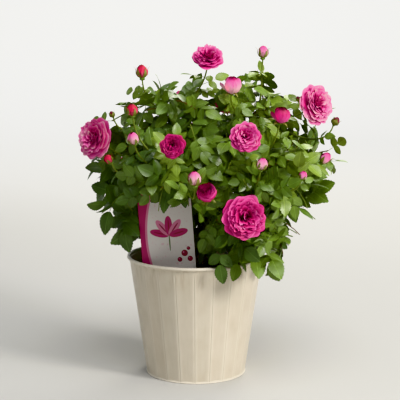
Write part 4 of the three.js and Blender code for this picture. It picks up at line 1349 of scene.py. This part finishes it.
# The flowers whose petals wrap round them: their outline from the foot up, as radius and height, and
# their layers of petals from the outside in: how many, how wide, and how much of the radius they keep.
# A petal winds inwards by its spiral, and each layer stands higher than the last and is darker
WRAPPED = {
    "bud": {"radii": [0.16, 0.64, 0.95, 1.0, 0.86, 0.58, 0.26],
            "heights": [-1.1, -0.82, -0.36, 0.10, 0.62, 1.02, 1.30],
            "layers": [(3, 1.05, 1.0), (3, 0.85, 0.84), (2, 0.6, 0.58)],
            "spiral": 0.13, "rise": 0.03, "tone": 0, "darker": 0.34},
    "cup": {"radii": [0.20, 0.74, 1.0, 1.02, 0.90],
            "heights": [-0.75, -0.52, -0.05, 0.36, 0.62],
            "layers": [(5, 0.86, 1.0), (5, 0.74, 0.86), (5, 0.6, 0.7), (4, 0.48, 0.54),
                       (4, 0.36, 0.38), (3, 0.26, 0.22)],
            "spiral": 0.07, "rise": 0.03, "tone": 0, "darker": 0.34},
    "half": {"radii": [0.18, 0.66, 0.94, 1.0, 0.86, 0.54],
             "heights": [-0.98, -0.76, -0.34, 0.16, 0.64, 0.96],
             "layers": [(3, 1.0, 1.0), (4, 0.8, 0.86), (4, 0.62, 0.68), (4, 0.46, 0.5),
                        (3, 0.32, 0.32), (2, 0.2, 0.15)],
             "spiral": 0.14, "rise": 0.06, "tone": 1, "darker": 0.7},
}
# The petal that has come away from a half-open rose: the radius and height of its foot, its length, its
# lean and its curl
PEELED_PATH = (0.12, -0.85, 2.5, 66, -66)
PEELED_HALF = 0.56
PEELED_TONE = 2
PEELED_TOWARDS = np.array([-0.85, -0.8, 0])
# The hip: how high it reaches and how wide it is. On a bud the sepals follow it, and else they spread
HIP_TOPS = {"open": -0.34, "cup": -0.55, "half": -0.78, "bud": -0.82}
HIP_HALVES = {"open": 0.17, "cup": 0.34, "half": 0.4, "bud": 0.5}
HIP_SHAPE = np.array([0.45, 0.9, 1.0, 0.82, 0.9])
SEPAL_LEANS = {"open": 92, "cup": 74, "half": 74}
SEPAL_CURL = 70
SEPAL_LENGTH = 0.019
SEPAL_HALF = 0.0040
SEPAL_WIDTHS = [0.7, 1.0, 0.95, 0.75, 0.45, 0.2, 0.05]
SEPAL_ON_BUD = ([0.24, 0.70, 1.04, 1.12, 1.10, 1.22, 1.5], [-0.98, -0.74, -0.30, 0.10, 0.42, 0.74, 0.98])
GREEN_BUD_SEPAL = 2.4                 # how many times wider the sepals of a green bud are


def grid_faces(rows, columns):
    """The faces of a sheet whose points run along its rows."""
    starts = [row * columns + k for row in range(rows - 1) for k in range(columns - 1)]
    return [[start, start + 1, start + columns + 1, start + columns] for start in starts]


def bent_path(foot, height, length, lean, curl):
    """The radius and height along a petal that leans out from its foot and curls over at its tip."""
    angles = np.radians(lean + curl * np.linspace(0, 1, PETAL_STEPS) ** 2)[1:]
    gap = length / (PETAL_STEPS - 1)
    return (foot + np.concatenate([[0], np.cumsum(np.sin(angles))]) * gap,
            height + np.concatenate([[0], np.cumsum(np.cos(angles))]) * gap)


def petal_points(path, half_width, ruffle, wrap=PETAL_WRAP, spiral=0.0):
    """A petal along a path of radius and height, wrapped round the Z axis, its corners rounded."""
    u, v = np.meshgrid(np.linspace(-1, 1, PETAL_COLUMNS), PETAL_HEIGHTS)
    steps = np.linspace(0, 1, len(path[0]))
    along = v * (1 - 0.22 * np.abs(u) ** 2.8 * v - 0.04 * (1 - np.abs(u)) ** 2 * v)
    radius = np.interp(along, steps, path[0]) * (1 + spiral * u)
    wave = ruffle * v ** 2 * np.sin(u * 4.6 + crown_dice.roll(0, math.tau))
    hug = np.maximum(radius, wrap)
    turn = u * half_width * np.interp(v, PETAL_HEIGHTS, PETAL_WIDTHS) / hug
    out = radius + hug * (np.cos(turn) - 1) + wave
    height = np.interp(along, steps, path[1]) + wave * 0.5
    return np.stack([out, hug * np.sin(turn), height], 2).reshape(-1, 3)


PETAL_FACES = grid_faces(PETAL_ROWS, PETAL_COLUMNS)
PETAL_MARKS = np.stack(np.meshgrid(np.linspace(0, 1, PETAL_COLUMNS), np.arange(PETAL_ROWS)), 2)
PETAL_MARKS = PETAL_MARKS.reshape(-1, 2)
petals = Heap()
calyxes = Heap()


def flower_axes(facing):
    side = sideways(facing, 0)
    return np.stack([side, np.cross(facing, side), facing], 1)


def add_petal(seat, points, turn, tone, centre=(0.0, 0.0)):
    """seat is the flower's place, axes, half width and form."""
    at, axes, half, form = seat
    points = turned(points, (0, 0, turn)) + np.array([*centre, 0])
    is_folded = form in ("half", "bud")
    darkest, palest = (0, RED - 1) if tone < RED else (RED, RED + len(RED_TONES) - 1)
    tones = []
    for step in BUD_TONES if is_folded else PETAL_TONES:
        tones += [min(max(tone + step, darkest), palest)] * (PETAL_COLUMNS - 1)
    marks = PETAL_MARKS * ((1, -1) if is_folded else (1, 1))
    petals.add(at + (points * half) @ axes.T, PETAL_FACES, tones, marks)


def petal_turn(index, count, order, jitter, twist):
    """Petals of a ring stand evenly round the flower, and before the gaps of the ring outside it."""
    even = (index + 0.5 * (order % 2)) * math.tau / count
    return even + crown_dice.roll(-jitter, jitter) + order * twist


def add_open_rings(seat, tone):
    for order, (count, foot, height, length, half_width, lean, curl) in enumerate(OPEN_RINGS):
        for index in range(count):
            path = bent_path(foot, height, length * crown_dice.roll(*OPEN_LENGTHS),
                             lean + crown_dice.roll(*OPEN_LEANS), curl + crown_dice.roll(*OPEN_CURLS))
            turn = petal_turn(index, count, order, 0.14, 0.7)
            add_petal(seat, petal_points(path, half_width, crown_dice.roll(*OPEN_RUFFLES)), turn,
                      tone + int(crown_dice.roll(*OPEN_TONES)))


def add_heart(seat, tone):
    """Small folded petals that crowd the middle of an open rose."""
    for order in range(HEART_PETALS):
        out = HEART_REACH * math.sqrt((order + 0.5) / HEART_PETALS)
        turn = order * GOLDEN_TURN
        centre = (math.cos(turn) * out, math.sin(turn) * out)
        top = HEART_TOP - HEART_DOME * out * out + crown_dice.roll(*HEART_TOPS)
        path = bent_path(0.03, HEART_FOOT, top + 0.22, HEART_LEAN + HEART_SPREAD * out, HEART_CURL)
        points = petal_points(path, crown_dice.roll(*HEART_WIDTHS), 0.03, 0.09)
        add_petal(seat, points, turn + crown_dice.roll(-0.9, 0.9),
                  tone + int(crown_dice.roll(*HEART_TONES)), centre)


def add_layers(seat, tone):
    """The petals of a flower that they wrap."""
    plan = WRAPPED[seat[3]]
    for order, (count, half_width, keep) in enumerate(plan["layers"]):
        for index in range(count):
            heights = np.array(plan["heights"]) * (1 + plan["rise"] * order)
            path = (np.array(plan["radii"]) * keep, heights * crown_dice.roll(0.96, 1.03))
            turn = petal_turn(index, count, order, 0.15, 0.4)
            points = petal_points(path, half_width, 0.02, PETAL_WRAP, plan["spiral"])
            add_petal(seat, points, turn, tone + plan["tone"] - int(order * plan["darker"]))


def add_peeled_petal(seat, tone):
    """The outermost petal of a half-open rose has come away and leans out."""
    towards = PEELED_TOWARDS @ seat[1]
    points = petal_points(bent_path(*PEELED_PATH), PEELED_HALF, 0.03)
    add_petal(seat, points, math.atan2(towards[1], towards[0]), tone + PEELED_TONE)


def add_calyx(seat, is_green):
    """The hip under a flower and its five sepals, which cover most of a bud that is still green."""
    at, axes, half, form = seat
    top = HIP_TOPS[form] * half
    swell = HIP_HALVES[form] * half
    heights = np.linspace(-CALYX_DEPTHS[form] * half, top, len(HIP_SHAPE))
    add_tube(calyxes, at + heights[:, None] * axes[:, 2], swell * HIP_SHAPE, 8, 0)
    if form == "bud":
        radii, rises = np.array(SEPAL_ON_BUD) * half
    else:
        radii, rises = bent_path(swell * 0.7, top, SEPAL_LENGTH, SEPAL_LEANS[form], SEPAL_CURL)
    growth = GREEN_BUD_SEPAL if is_green else 1
    halves = growth * min(SEPAL_HALF, half * 0.34) * np.array(SEPAL_WIDTHS)
    picks = np.linspace(0, len(radii) - 1, len(SEPAL_WIDTHS))
    out, up = [np.interp(picks, np.arange(len(radii)), values) for values in (radii, rises)]
    for index in range(5):
        sway = crown_dice.roll(-0.0015, 0.003) * np.linspace(0, 1, len(halves)) ** 2
        local = np.array([(out[row] + sway[row] - abs(side) * 0.0006, side * halves[row], up[row])
                          for row in range(len(halves)) for side in (-1, 0, 1)])
        points = turned(local, (0, 0, index * math.tau / 5 + crown_dice.roll(-0.1, 0.1)))
        calyxes.add(at + points @ axes.T, grid_faces(len(halves), 3), 1)


for at, width, faces, form, tone in FLOWERS:
    at = np.array(at)
    axes = flower_axes(unit(np.array(faces, float)))
    seat = (at, axes, width / 2, form)
    if form == "open":
        add_open_rings(seat, tone)
        add_heart(seat, tone)
    else:
        add_layers(seat, tone)
    if form == "half":
        add_peeled_petal(seat, tone)
    add_calyx(seat, tone == 0)

petal_finishes = []
for tones in (ROSE_TONES, RED_TONES):
    colours = [linear(*colour) for _, colour in tones]
    for order, (tone_name, _) in enumerate(tones):
        silk = Finish(f"petal_{tone_name}", Roughness=0.55)
        silk_u, silk_v = silk.marks()
        paler = colours[min(order + 1, len(tones) - 1)]
        darker = colours[max(order - 1, 0)]
        across = silk_u * PETAL_VEINS + silk.speckle(0.004) * 2
        veins = silk.fade(silk.maths("PINGPONG", across, 0.5), 0.1, 0.4)
        silk_colour = silk.blend(silk.maths("FRACT", silk_v), colours[order], paler)
        silk_colour = silk.blend(veins * 0.16, silk_colour, darker)
        petal_finishes.append(silk.dress(silk_colour, relief=veins, depth=0.0001))
petal_piece = petals.make("rose_petals", petal_finishes, math.radians(60))
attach(petal_piece, "root")
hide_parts(*foliage_nodes)

hip_finish = mottled("green_hip", 0.004, (92, 122, 46), (124, 148, 66), 0.5)
sepal_finish = mottled("green_sepal", 0.004, (104, 122, 50), (146, 138, 76), 0.55)
calyx_piece = calyxes.make("hips_and_sepals", [hip_finish, sepal_finish], math.radians(45))
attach(calyx_piece, "root")
